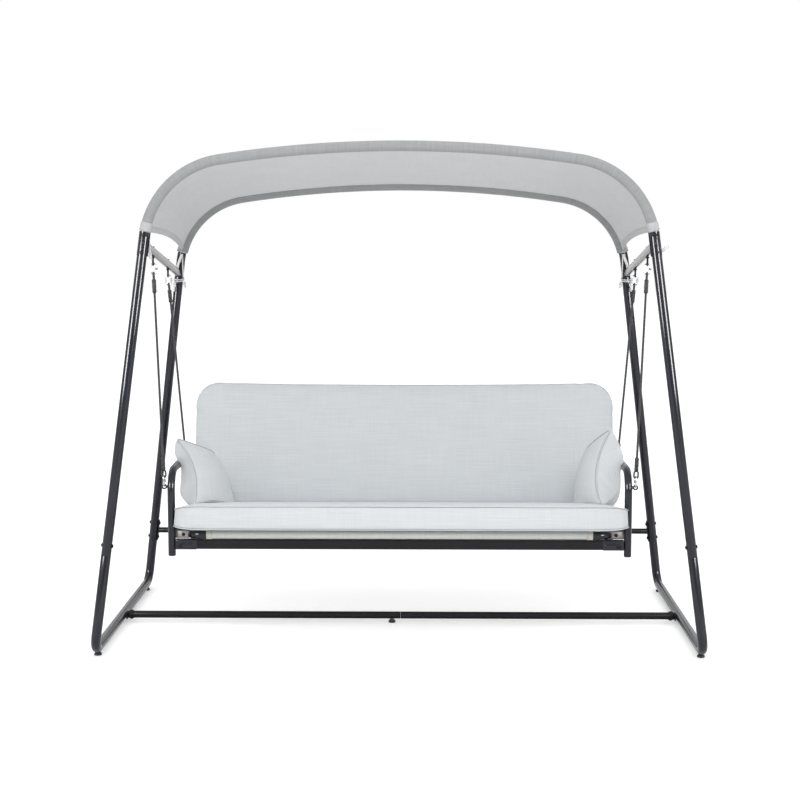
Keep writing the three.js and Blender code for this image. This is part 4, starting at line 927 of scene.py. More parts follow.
def make_leg_saddles():
    """A curved plate behind each front leg, where the side bar ends, with two domed bolts that go
    through the leg above and below the bar."""
    for side in SIDES:
        foot, top = LEG_ENDS[side, "front"]
        up = unit(top - foot)
        back = unit(Y_AXIS - up * up[1])
        bar = bar_line(side)[0]
        angle = np.linspace(-SADDLE_SPREAD, SADDLE_SPREAD, 24)[:, None]
        arc = np.hstack([np.cos(angle), np.sin(angle)])
        section = np.concatenate([arc * (TUBE_R + SADDLE_WALL), arc[::-1] * (TUBE_R + GAP)])
        path = straight(bar - up * SADDLE_HALF, bar + up * SADDLE_HALF)
        Shell().solid(carried(path, back, section)).piece(f"{side}_leg_saddle", "dark_paint", [], "stand")
        for name, step in (("lower", -SADDLE_BOLT_STEP), ("upper", SADDLE_BOLT_STEP)):
            at = bar + up * step
            bolt(Shell(), at - back * TUBE_R, at + back * (TUBE_R + 0.003)).piece(
                f"{side}_{name}_saddle_bolt", "black_steel", [], "stand")


def make_feet():
    """Moulded glides with a rounded rim and a saddle neck."""
    for name in [f"{side}_{end}_foot" for side in SIDES for end in ENDS] + ["middle_foot"]:
        x, y = middle_of(name)[:2]
        foot = np.array([x, y, box_of(name)[0][2]])
        Shell().solid(turned(foot, Z_AXIS, FOOT_PROFILE, 36)).piece(f"{name}_glide", "black_plastic", [name])


# Hangers

def make_eyes():
    """Eye studs under the side bars: a ring on a collar, and a domed nut above the bar."""
    for node in [f"{side}_{end}_eye" for side in SIDES for end in ENDS]:
        low, high = box_of(node)
        x, y = middle_of(node)[:2]
        centre = np.array([x, y, low[2] + EYE_R + WIRE_R])
        top = np.array([x, y, high[2] - HEAD_TALL])
        collar = np.array([x, y, top[2] - SIDE_BAR_TALL - 0.006])
        shell = Shell().loop(oval_ring(centre, Y_AXIS, Z_AXIS, EYE_R, 2 * EYE_R, WIRE_R))
        stem = [(0.0, BOLT_R), (top[2] - centre[2] - EYE_R + 0.002, BOLT_R)]
        shell.solid(turned(centre + Z_AXIS * EYE_R, Z_AXIS, stem, 16))
        shell.solid(turned(collar, Z_AXIS, EYE_SHOULDER))
        shell.solid(turned(top, Z_AXIS, EYE_NUT, 6))
        cap = [(0.0030 + z, r) for z, r in dome(0.0055, HEAD_TALL - 0.003)]
        shell.solid(turned(top, Z_AXIS, cap))
        shell.piece(f"{node}_stud", "black_steel", [node])


def hanger_axes(name):
    """Unit vectors of one hanger: across, up the rope and to its back."""
    up = unit(box_line(f"{name}_rope"))
    across = unit(X_AXIS - up * up[0])
    return across, up, np.cross(across, up)


def box_line(node):
    """Direction up a slim straight piece: the main axis of the spread of its corners."""
    points = corners_of(node)
    spread = points - points.mean(axis=0)
    direction = np.linalg.svd(spread, full_matrices=False)[2][0]
    return direction * np.sign(direction[2])


def link(shell, centre, wide, up):
    """A quick link: an oval of wire with a hexagon sleeve nut on one long side."""
    shell.loop(oval_ring(centre, wide, up, LINK_R, LINK_LENGTH, WIRE_R))
    shell.solid(turned(centre + wide * LINK_R, up, LINK_NUT, 6))
    return shell


def rope_rows(foot, top, across):
    """A braided rope between two points: the radius rises and falls with two sets of strands that
    wind opposite ways, r = radius x (0.95 + ridge x max(cos(n a + k s), cos(n a - k s)))."""
    rows, ways = straight(foot, top, int(np.linalg.norm(top - foot) / 0.0014))
    angle = np.arange(16) * 2 * math.pi / 16
    run = np.linspace(0, np.linalg.norm(top - foot), len(rows))[:, None] * 2 * math.pi / ROPE_LAY
    turns = ROPE_STRANDS / 2 * angle[None]
    ridge = np.maximum(np.cos(turns + run), np.cos(turns - run))
    radii = ROPE_R * (0.95 + ROPE_RIDGE * ridge)
    section = radii[..., None] * np.stack([np.cos(angle), np.sin(angle)], axis=1)
    return carried((rows, ways), across, section)


def make_hangers():
    """Four hangers: link, rope with a thimble eye and pressed sleeve at each end, link."""
    hold = WIRE_R + LOOP_WIRE_R + CHAIN_GAP
    for side in SIDES:
        for end in ENDS:
            name = f"{side}_{end}"
            across, up, back = hanger_axes(name)
            upper = ring_centre(f"{name}_upper_link", up)
            lower = ring_centre(f"{name}_lower_link", up)
            link(Shell(), upper, across, up).piece(f"{name}_top_link", "zinc_plate", [f"{name}_upper_link"])
            link(Shell(), lower, -back, up).piece(f"{name}_bottom_link", "zinc_plate", [f"{name}_lower_link"])
            loop_top = upper - up * (LINK_LENGTH / 2 - hold)
            loop_foot = lower + up * (LINK_LENGTH / 2 - hold)
            rope_top = loop_top - up * LOOP_LENGTH
            rope_foot = loop_foot + up * LOOP_LENGTH
            cord = Shell().solid(rope_rows(rope_foot, rope_top, across))
            for tip, way, wide in ((loop_top, -up, back), (loop_foot, up, across)):
                centre = tip + way * LOOP_LENGTH / 2
                cord.loop(oval_ring(centre, wide, up, LOOP_R, LOOP_LENGTH, LOOP_WIRE_R))
            cord.piece(f"{name}_cord", "black_rope", [f"{name}_rope"])
            sleeves = Shell().solid(turned(rope_top, -up, CRIMPED_SLEEVE, 20))
            sleeves.solid(turned(rope_foot, up, CRIMPED_SLEEVE, 20))
            sleeves.piece(f"{name}_sleeves", "black_plastic", body=f"{end}_ropes")


def ring_centre(node, up):
    """Centre of a link's oval: the mean of its corners within 2 mm of its ends along the rope."""
    points = corners_of(node)
    heights = points @ up
    ends = (heights > heights.max() - 0.002) | (heights < heights.min() + 0.002)
    return points[ends].mean(axis=0)


# The bench's frames and cloth sections

class Slope:
    """A frame tilted about X: its own axes are X, along and up."""

    def __init__(self, origin, lean):
        self.origin = origin
        self.along = np.array([0.0, math.cos(lean), -math.sin(lean)])
        self.up = np.array([0.0, math.sin(lean), math.cos(lean)])

    def at(self, points):
        """Places of points given along the frame's own axes."""
        points = np.asarray(points, float)
        return (self.origin + points[..., :1] * X_AXIS
                + points[..., 1:2] * self.along + points[..., 2:] * self.up)

    def own(self, points):
        """Points along the frame's own axes, from their places."""
        return (np.asarray(points) - self.origin) @ np.stack([X_AXIS, self.along, self.up], axis=1)


def rings_between(node, axis, reach):
    """Middle of a bent tube's rings that lie within reach of its box's middle along an axis."""
    points = corners_of(node)
    middle = middle_of(node)[axis]
    return points[abs(points[:, axis] - middle) < reach].mean(axis=0)


def lowest_ring(points):
    """Middle of the lowest ring of corners."""
    return points[points[:, 2] < points[:, 2].min() + 0.001].mean(axis=0)


def half_width(node):
    """How far the centre line of a node's right foot stands from the middle."""
    points = corners_of(node)
    return lowest_ring(points[points[:, 0] > 0])[0]


SEAT_HALF = half_width("seat_frame")
BACK_HALF = half_width("back_frame")
ARM_HALF = half_width("right_arm_loop")
SEAT = Slope(rings_between("seat_frame", 0, SEAT_HALF - SEAT_BEND_R + 0.001), SEAT_TILT)
BACK = Slope(rings_between("back_frame", 0, BACK_HALF - BACK_BEND_R + 0.001), BACK_LEAN)
BACK.origin = BACK.origin - BACK.up * BACK_FRAME_TALL


def pocket(radius, flap, height):
    """A cloth's section once round a bar at the origin and back: from the stitch line a flap away,
    to the bar's under side, round the bar, and back over it to the stitch. Both plies touch the bar
    where a line from the stitch meets the circle, at atan2(height, flap) -+ acos(radius / reach)."""
    stitch = np.array([flap, height])
    reach = np.linalg.norm(stitch)
    facing, spread = math.atan2(height, flap), math.acos(min(1.0, radius / reach))
    angle = np.linspace(facing - spread, facing + spread - 2 * math.pi, 26)
    arc = radius * np.stack([np.cos(angle), np.sin(angle)], axis=1)
    shares = np.linspace(0, 1, 6)[:, None]
    under = stitch - [0, 0.0014] + (arc[0] - stitch) * shares[:-1]
    over = arc[-1] + (stitch - arc[-1]) * shares[1:]
    return np.concatenate([under, arc, over])


def cloth_sections(span, first_r, second_r, flap, level, sag, steps=28):
    """A cloth's section across two bars a span apart, in three parts: the pocket round the first
    bar, the sheet, and the pocket round the second. The sheet stands at a level in shares of each
    bar's radius and sags by 4 t (1 - t) of the sag. Columns are the place across, the height, and
    the share t of the span."""
    first = pocket(first_r, flap, level * first_r)
    second = pocket(second_r, flap, level * second_r)[::-1] * [-1, 1] + [span, 0]
    t = np.linspace(flap / span, 1 - flap / span, steps + 1)
    height = level * (first_r + (second_r - first_r) * t) - sag * (4 * t * (1 - t))
    sheet = np.stack([span * t, height], axis=1)
    return [np.column_stack([part, np.clip(part[:, 0] / span, 0, 1)]) for part in (first, sheet, second)]


def surface_area(grid):
    """Area of a grid's quads, each as two triangles."""
    a, b, c, d = np.moveaxis(Shell.corners(grid), 2, 0)
    halves = np.cross(b - a, c - a), np.cross(c - a, d - a)
    return sum(np.linalg.norm(half, axis=-1).sum() / 2 for half in halves)


def cloth_piece(grid, name, finish, nodes=(), body=None, thick=CLOTH_THICK, offset=-1):
    """A grid as a piece of cloth, with its thickness on the side away from its faces or, with a
    greater offset, towards them."""
    cloth = Shell().add(grid).piece(name, finish, nodes, body, 70)
    wall = cloth.modifiers.new("thickness", "SOLIDIFY")
    wall.thickness = thick
    wall.offset = offset
    return cloth


# Canopy

def clipped(line, foot_rise):
    """The part of a hoop's line that lies above a height, between its two feet."""
    points, outward = line
    length = lengths_along(points)
    top = np.argmax(points[:, 2])
    level = points[0, 2] + foot_rise
    first = np.interp(level, points[:top, 2], length[:top])
    last = np.interp(level, points[top:, 2][::-1], length[top:][::-1])
    at = np.linspace(first, last, 400)
    return picked(points, at, length), unit(picked(outward, at, length))


def canopy_places(rows, section_of, lift=0.0):
    """Grid of the canopy's cloth: rows are shares of its length with one column of shares for each
    place of the section. Each row's section stands on the line from the front hoop to the rear
    one, with its height along the hoops' outward direction made square to that line. The share is
    drawn in at both ends by the hem's curve, rise x 4 t (1 - t)."""
    front, rear = (clipped(hoop_line(end), CANOPY_RISE[end]) for end in ENDS)
    length = lengths_along(front[0])[-1]
    span = np.linalg.norm(rear[0] - front[0], axis=1).mean()
    section = section_of(span)
    draw = CANOPY_HEM_RISE * 4 * section[:, 2] * (1 - section[:, 2]) / length
    share = draw[None] + (1 - 2 * draw[None]) * rows
    places = []
    for points, outward in (front, rear):
        number = np.arange(len(points))
        at = share * number[-1]
        places.append((picked(points, at, number), picked(outward, at, number)))
    (start, out_a), (stop, out_b) = places
    across = unit(stop - start)
    outward = unit(out_a + out_b)
    outward = unit(outward - across * (outward * across).sum(axis=2, keepdims=True))
    wide = np.linalg.norm(stop - start, axis=2, keepdims=True) / span
    return start + across * section[:, :1] * wide + outward * (section[:, 1:2] + lift), length


def make_canopy():
    """The canopy's sheet with a stitched pocket round each hoop, its side hems, the pale knitted
    cuffs at the pockets' ends and the tapes that tie its rear corners to the side bars."""
    radii = [TUBE_R + POCKET_PLAY[end] for end in ENDS]
    part_of = lambda part: lambda span: cloth_sections(span, *radii, CANOPY_FLAP, 0, CANOPY_SAG)[part]
    rows = np.linspace(0, 1, 181)[:, None]
    grid, length = canopy_places(rows, part_of(1))
    grid = grid + Z_AXIS * ripple(grid, part_of(1)(1.0)[:, 2])[..., None]
    cloth = cloth_piece(grid, "canopy_sheet", "canopy_cloth", ["canopy"])
    extras = []
    for part, end in ((0, "front"), (2, "rear")):
        # The pockets' darker finish is partly double ply and partly painted shade.
        places, _ = canopy_places(rows, part_of(part))
        extras.append(cloth_piece(places, f"canopy_{end}_pocket", "canopy_pocket_ply_and_painted_shade", (), "stand"))
    for side, sign in SIDES.items():
        band = np.linspace(0.0, HEM_WIDE / length, 7)[:, None]
        hem_rows = band if sign > 0 else 1 - band[::-1]
        for name, lift in HEM_LIFTS.items():
            places, _ = canopy_places(hem_rows, part_of(1), lift)
            hem = f"{side}_canopy_hem_{name}"
            extras.append(cloth_piece(places, hem, "canopy_hem", (), "stand", HEM_THICK))
        extras += [make_cuff(side, sign, end) for end in ENDS]
    make_ties()
    area = surface_area(grid)


def ripple(grid, t):
    """Small rise and fall of stretched cloth: slow folds that run between the hoops, strongest half
    way, and short puckers that die out within a hand of the two stitch lines."""
    u = np.linspace(0, 1, len(grid))[:, None]
    t = t[None]
    middle = 4 * t * (1 - t)
    slow = np.sin(17.0 * u + 2.3 * t + 0.7) * np.sin(9.0 * u - 1.1) * 0.0022 * middle
    near = np.exp(-np.minimum(t, 1 - t) * 16) * (middle > 0)
    puckers = (np.sin(311.0 * u + 3.0 * np.sin(23.0 * u)) + 0.6 * np.sin(197.0 * u + 1.3)) * 0.0005 * near
    return slow + puckers


def make_cuff(side, sign, end):
    """A ribbed cuff over the end of a pocket: a sleeve round the hoop whose radius rises and falls
    a little with its ribs, rolled in at both ends."""
    points, outward = clipped(hoop_line(end), CANOPY_RISE[end])
    steps = lengths_along(points)[-1] / (len(points) - 1)
    count = int((CUFF_LENGTH if end == "front" else CUFF_LENGTH / 2) / steps) + 1
    pick = slice(0, count) if sign > 0 else slice(len(points) - count, len(points))
    at, out = points[pick], outward[pick]
    ways = unit(np.gradient(at, axis=0))
    share = np.linspace(0, 1, len(at))
    over = TUBE_R + CUFF_WALL + CUFF_RIB_RISE * np.abs(np.sin(share * CUFF_RIBS * math.pi))
    radii = over - CUFF_WALL * (np.exp(-share * 30) + np.exp(-(1 - share) * 30))
    grid = carried((at, ways), out, circle(radii, 40))
    return Shell().add(grid, around=True).piece(
        f"{side}_{end}_cuff", "knit_cuff" if end == "front" else "canopy_hem", [], "stand", 80)


def tape(shell, start, stop, facing, wide, thick=0.0014):
    """A flat tape between two points, bowed a little towards the side that it faces."""
    rows, ways = straight(start, stop, 16)
    share = np.linspace(0, 1, len(rows))[:, None]
    rows = rows + facing * 0.003 * np.sin(math.pi * share)
    across = unit(np.cross(ways[0], facing))
    section = rounded_box(wide, thick, thick * 0.45, 3)
    return shell.solid(carried((rows, ways), across, section))


def knot(shell, place, tail):
    """A tied knot: three crossing loops, and a tail that hangs from them."""
    for turn in (-1, 0, 1):
        lean = unit(np.array([0.5 * turn, 0.4, 1.0]))
        centre = place + Z_AXIS * 0.003 * turn
        shell.loop(oval_ring(centre, square_to(lean), lean, 0.0034, 0.012, 0.0026, 20, 10))
    tape(shell, place - Z_AXIS * 0.002, place + tail, -Y_AXIS, 0.007, 0.003)


def make_ties():
    """Pale tapes that tie the canopy down. At each rear corner one runs to the top of the side bar
    and one goes down in front of the leg, twice round it under the bar, and ends in two tails."""
    for side, sign in SIDES.items():
        bar = bar_line(side)[1]
        front = bar - Y_AXIS * (TUBE_R + 0.004)
        inward = -sign * X_AXIS
        corner = front + inward * 0.018 + Z_AXIS * 0.092
        ties = Shell()
        tape(ties, corner, bar - inward * 0.006 + np.array([0, -0.040, 0.024]), -Y_AXIS, 0.011)
        tape(ties, corner, front + inward * 0.021 - Z_AXIS * 0.014, -Y_AXIS, 0.006, 0.003)
        reach = TUBE_R + 0.0028
        slant = unit(Y_AXIS + 0.25 * Z_AXIS)
        for drop in (0.020, 0.027):
            centre = leg_at(side, "rear", bar[2] - drop)
            ties.loop(oval_ring(centre, X_AXIS, slant, reach, 2 * reach, 0.0024))
        knot(ties, front - inward * 0.018 - Z_AXIS * 0.046, np.array([sign * 0.003, -0.002, -0.030]))
        knot(ties, front + inward * 0.026 - Z_AXIS * 0.043, inward * 0.004 - Z_AXIS * 0.018)
        ties.piece(f"{side}_rear_ties", "tie_tape", [], "stand", 60)
    bar = bar_line("left")[0]
    front_tie = Shell()
    start, stop = bar + np.array([0.012, 0.026, 0.060]), bar + np.array([0.021, 0.026, -0.040])
    tape(front_tie, start, stop, -Y_AXIS, 0.008)
    knot(front_tie, bar + np.array([0.021, 0.022, -0.046]), np.array([0.006, 0, -0.014]))
    front_tie.piece("left_front_tie", "tie_tape", [], "stand", 60)
    bar = bar_line("right")[0]
    start, stop = bar + np.array([0.010, 0.024, -0.040]), bar + np.array([0.054, 0.024, -0.008])
    tape(Shell(), start, stop, -Y_AXIS, 0.012).piece("right_front_tie", "tie_tape", [], "stand", 60)


# Bench frame

def make_arm_loops():
    """Arm loops with a hook ring and weld bead outside each post, and a plug in each foot."""
    for side, sign in SIDES.items():
        node = f"{side}_arm_loop"
        points = corners_of(node)
        reach = (points[:, 1].max() - points[:, 1].min()) / 2 - ARM_BEND_R - 0.012
        rail = rings_between(node, 1, reach)[2]
        middle = middle_of(node)[1]
        halves = [points[points[:, 1] < middle], points[points[:, 1] > middle]]
        feet = [lowest_ring(half) for half in halves]
        tops = [np.array([foot[0], foot[1], rail]) for foot in feet]
        path = bent([feet[0], tops[0], tops[1], feet[1]], ARM_BEND_R, 16)
        shell = Shell().solid(pipe(path, X_AXIS, BENCH_R))
        plugs = Shell()
        for foot, half in zip(feet, halves):
            hook = half[np.abs(half[:, 0]) > abs(feet[0][0]) + BENCH_R + HOOK_R]
            at = np.array([foot[0], foot[1], hook[:, 2].mean()])
            centre = at + sign * X_AXIS * (BENCH_R + 0.001 + WIRE_R + HOOK_R)
            shell.loop(oval_ring(centre, X_AXIS, Z_AXIS, HOOK_R, 2 * HOOK_R, WIRE_R))
            shell.solid(turned(at, X_AXIS * sign, WELD_BEAD))
            plugs.solid(turned(foot, -Z_AXIS, PLUG_PROFILE))
        shell.piece(f"{side}_arm", "dark_paint", [node])
        plugs.piece(f"{side}_post_plugs", "black_plastic", body="bench")


def box_bar(start, stop, wide, tall, radius, lips):
    """A box bar between two points along X, with round corners. lips are rows of distance in from
    each end and how much smaller the section is there, from the end inwards."""
    way = unit(stop - start)
    rows = [start + way * inset for inset, _ in lips] + [stop - way * inset for inset, _ in lips[::-1]]
    less = [step for _, step in lips + lips[::-1]]
    sections = np.stack([rounded_box(wide - 2 * step, tall - 2 * step, radius) for step in less])
    return carried((np.array(rows), np.broadcast_to(way, (len(rows), 3))), Y_AXIS, sections)


def make_cross_bars():
    """The box bars under the seat. The front one has a pressed clamp round each end, with an
    embossed rib and a bolt in its front face."""
    bar_lips = [(0.0, 0.0008), (0.0008, 0.0)]
    clamp_lips = [(0.0, 0.0018), (0.0012, 0.0006), (0.0030, 0.0)]
    rib_levels = [(-0.001, 0.0), (0.0010, 0.0006), (0.0022, 0.0022), (0.0028, 0.0045)]
    deep, tall = CROSS_TUBE_DEEP + CLAMP_WALL, CROSS_TUBE_TALL + CLAMP_WALL
    for end in ENDS:
        node = f"bench_{end}_bar"
        low, high = box_of(node)
        middle = middle_of(node)
        start, stop = (np.array([x, middle[1], middle[2]]) for x in (low[0], high[0]))
        bar = box_bar(start, stop, CROSS_TUBE_DEEP, CROSS_TUBE_TALL, 0.004, bar_lips)
        Shell().solid(bar).piece(f"{end}_seat_bar", "bar_paint", [node])
        if end == "rear":
            continue
        for side, sign in SIDES.items():
            outer = start if sign < 0 else stop
            ends = (outer, outer - sign * X_AXIS * CLAMP_LENGTH)[::-sign]
            clamp = Shell().solid(box_bar(*ends, deep, tall, 0.0055, clamp_lips))
            face = outer - Y_AXIS * deep / 2 - Z_AXIS * CLAMP_DROP
            rib = face - sign * X_AXIS * CLAMP_RIB_IN
            rows = np.array([rib - Y_AXIS * level for level, _ in rib_levels])
            outlines = np.stack([rounded_box(CLAMP_RIB_LONG - 2 * i, CLAMP_RIB_TALL - 2 * i, 0.0115 - i)
                                 for _, i in rib_levels])
            clamp.solid(carried((rows, np.broadcast_to(-Y_AXIS, rows.shape)), X_AXIS, outlines))
            clamp.piece(f"{side}_clamp", "dark_paint", [], "bench")
            bolt_at = face - sign * X_AXIS * CLAMP_BOLT_IN - Y_AXIS * 0.0026
            Shell().solid(turned(bolt_at, -Y_AXIS, washered(*CLAMP_HEAD))).piece(
                f"{side}_clamp_bolt", "black_steel", [], "bench")


def make_seat_frame():
    """The seat's bent tube and rear rail, and the zinc plates that tie it to the posts."""
    rear = SEAT.own(corners_of("seat_frame"))[:, 1].max()
    corners = [(-SEAT_HALF, rear, 0), (-SEAT_HALF, 0, 0), (SEAT_HALF, 0, 0), (SEAT_HALF, rear, 0)]
    path = bent(SEAT.at(corners), SEAT_BEND_R, 14)
    Shell().solid(pipe(path, SEAT.up, BENCH_R)).piece("seat_tube", "dark_paint", ["seat_frame"])
    low, high = box_of("seat_rear_rail")
    _, y, z = middle_of("seat_rear_rail")
    rail = straight(np.array([low[0], y, z]), np.array([high[0], y, z]))
    Shell().solid(pipe(rail, Z_AXIS, BENCH_R)).piece("seat_rear_tube", "dark_paint", ["seat_rear_rail"])
    for side, sign in SIDES.items():
        low, high = box_of(f"{side}_seat_plate")
        wide, _, tall = high - low
        centre = (low + high) / 2
        shell = Shell().solid(plate(centre, -Y_AXIS, Z_AXIS, wide, tall, 0.003, 0.004))
        flange = centre + np.array([0, TIE_FLANGE_DEEP / 2, -tall / 2 + 0.0015])
        shell.solid(plate(flange, -Z_AXIS, Y_AXIS, wide - 0.004, TIE_FLANGE_DEEP, 0.003, 0.004))
        shell.piece(f"{side}_tie_plate", "dull_zinc", [f"{side}_seat_plate"])
        at = centre - Y_AXIS * 0.0015 - X_AXIS * sign * 0.004
        Shell().solid(turned(at, -Y_AXIS, washered(*PLATE_HEAD))).piece(
            f"{side}_tie_plate_bolt", "black_steel", [], "bench")


def make_back_frame():
    """The back's upturned U with its thin rod, and the bosses and bolts that join it to the arms
    and to the seat."""
    corners = [(-BACK_HALF, 0, -BACK_FOOT_BELOW), (-BACK_HALF, 0, BACK_FRAME_TALL),
               (BACK_HALF, 0, BACK_FRAME_TALL), (BACK_HALF, 0, -BACK_FOOT_BELOW)]
    shell = Shell().solid(pipe(bent(BACK.at(corners), BACK_BEND_R, 16), BACK.along, BENCH_R))
    inside = BACK_HALF - BENCH_R + 0.001
    outside = BACK_HALF + BENCH_R - 0.002
    rod = straight(*BACK.at([(-inside, 0, BACK_ROD_RISE), (inside, 0, BACK_ROD_RISE)]))
    shell.solid(pipe(rod, Z_AXIS, BACK_ROD_R, sides=20))
    for sign in SIDES.values():
        bosses = [
            (outside, ARM_BOSS_RISE, sign, ARM_HALF - BENCH_R - GAP - outside),
            (inside, 0, -sign, inside - (SEAT_HALF + BENCH_R + GAP)),
        ]
        for x, rise, way, long in bosses:
            boss = [(0.0, BOSS_R), (long - 0.001, BOSS_R), (long, BOSS_R - 0.001)]
            shell.solid(turned(BACK.at([(sign * x, 0, rise)])[0], X_AXIS * way, boss))
    shell.piece("back_tube", "dark_paint", ["back_frame"])
    for side, sign in SIDES.items():
        at = BACK.at([(sign * (outside + 0.001), 0, 0)])[0]
        Shell().solid(turned(at, X_AXIS * sign, washered(*CLAMP_HEAD))).piece(
            f"{side}_back_bolt", "black_steel", [], "bench")


def make_sling(name, node, slope, standing, start, span, half, first_r, second_r):
    """A sling stretched between two bars, with a stitched pocket round each and a folded hem along
    both ends. Its section lies along the slope, or stands up it behind the back cushion."""
    sections = cloth_sections(span, first_r, second_r, SLING_FLAP, 1, 0.0)

    def places(xs, section):
        """Grid over the sling: one row of the section at each place along it."""
        xs = xs[:, None] + 0 * section[None, :, 0]
        across = start + section[None, :, 0] + 0 * xs
        out = section[None, :, 1] + 0 * xs
        return slope.at(np.stack([xs, -out, across] if standing else [xs, across, out], axis=2))

    xs = np.linspace(half, -half, 61)
    cloth = cloth_piece(places(xs, sections[1]), name, "sling_cloth", [node])
    for part, place in ((0, "first"), (2, "second")):
        grid = places(xs, sections[part])
        cloth_piece(grid, f"{name}_{place}_pocket", "sling_cloth", (), "bench")
    for side, sign in SIDES.items():
        ends = np.linspace(half, half - SLING_HEM, 5)
        ends = ends if sign > 0 else -ends[::-1]
        for part, section in enumerate(sections, 1):
            hem = f"{side}_{name}_hem_{part}"
            cloth_piece(places(ends, section), hem, "sling_hem", (), "bench",
                                      SLING_HEM_THICK, 0.4)
    span - 2 * SLING_FLAP


def make_slings():
    """The seat's sling lies between its tube and rear rail, the back's stands between rod and tube."""
    rear = SEAT.own(middle_of("seat_rear_rail"))[1]
    bench_r, rod_r = BENCH_R + SLING_PLAY, BACK_ROD_R + SLING_PLAY
    make_sling("seat_cloth", "seat_sling", SEAT, False, 0.0, rear, box_of("seat_sling")[1][0],
               bench_r, bench_r)
    make_sling("back_cloth", "back_sling", BACK, True, BACK_ROD_RISE, BACK_FRAME_TALL - BACK_ROD_RISE,
               box_of("back_sling")[1][0], rod_r, bench_r)


# Cushions

def blown(points, quads, held, pressure, cap):
    """Cloth simulation of a cover blown up from inside, with no gravity, over a few frames. held
    is how firmly each corner stays where it was sewn, from 0 to 1. A corner that moved by d
    ends cap x tanh(d / cap) from its start."""
    scene = bpy.context.scene
    mesh = bpy.data.meshes.new("cover")
    mesh.from_pydata(points, [], quads)
    cover = bpy.data.objects.new("cover", mesh)
    scene.collection.objects.link(cover)
    group = cover.vertex_groups.new(name="held")
    for weight in np.unique(held[held > 0]):
        group.add(np.flatnonzero(held == weight).tolist(), float(weight), "REPLACE")
    modifier = cover.modifiers.new("blown", "CLOTH")
    for setting, value in COVER_CLOTH.items():
        setattr(modifier.settings, setting, value)
    modifier.settings.uniform_pressure_force = pressure
    modifier.settings.effector_weights.gravity = 0
    modifier.settings.vertex_group_mass = "held"
    modifier.point_cache.frame_start = 1
    modifier.point_cache.frame_end = COVER_FRAMES
    for moment in range(1, COVER_FRAMES + 1):
        scene.frame_set(moment)
    solved = cover.evaluated_get(bpy.context.evaluated_depsgraph_get()).data
    flat = np.empty(len(points) * 3, np.float32)
    solved.vertices.foreach_get("co", flat)
    scene.frame_set(1)
    bpy.data.objects.remove(cover)
    bpy.data.meshes.remove(mesh)
    moved = flat.reshape(-1, 3).astype(float) - points
    far = np.linalg.norm(moved, axis=1, keepdims=True)
    return points + moved * cap * np.tanh(far / cap) / np.maximum(far, 1e-9)


def cut_places(half_x, half_y, corner, pull, power, step):
    """Grid over a panel cut with round corners: columns stand at even places along the middle and
    at even angles in the corners, and each one reaches to the edge above and below it. The sides
    are drawn in between the corners by pull x share ^ power x (1 - other share squared)."""
    angle = np.linspace(0, math.pi / 2, max(4, int(corner * 1.6 / step)) + 1)
    middle = np.linspace(-(half_x - corner), half_x - corner, int(2 * (half_x - corner) / step) + 1)
    end = half_x - corner + corner * np.sin(angle[1:])
    reach = half_y - corner + corner * np.cos(angle[1:])
    xs = np.concatenate([-end[::-1], middle, end])
    tops = np.concatenate([reach[::-1], np.full(len(middle), half_y), reach])
    rows = np.linspace(-1, 1, int(2 * half_y / step) + 1)
    x = np.broadcast_to(xs[:, None], (len(xs), len(rows)))
    y = tops[:, None] * rows[None]
    share_x, share_y = np.abs(x) / half_x, np.abs(y) / half_y
    drawn_x = np.sign(x) * pull * share_x**power * (1 - share_y**2)
    drawn_y = np.sign(y) * pull * share_y**power * (1 - share_x**2)
    return np.stack([x - drawn_x, y - drawn_y], axis=2)


def rim_of(index):
    """The numbers round a grid's edge, once round, the same way as the hands of a clock go back."""
    return np.concatenate([index[:-1, 0], index[-1, :-1], index[:0:-1, -1], index[0, :0:-1]])


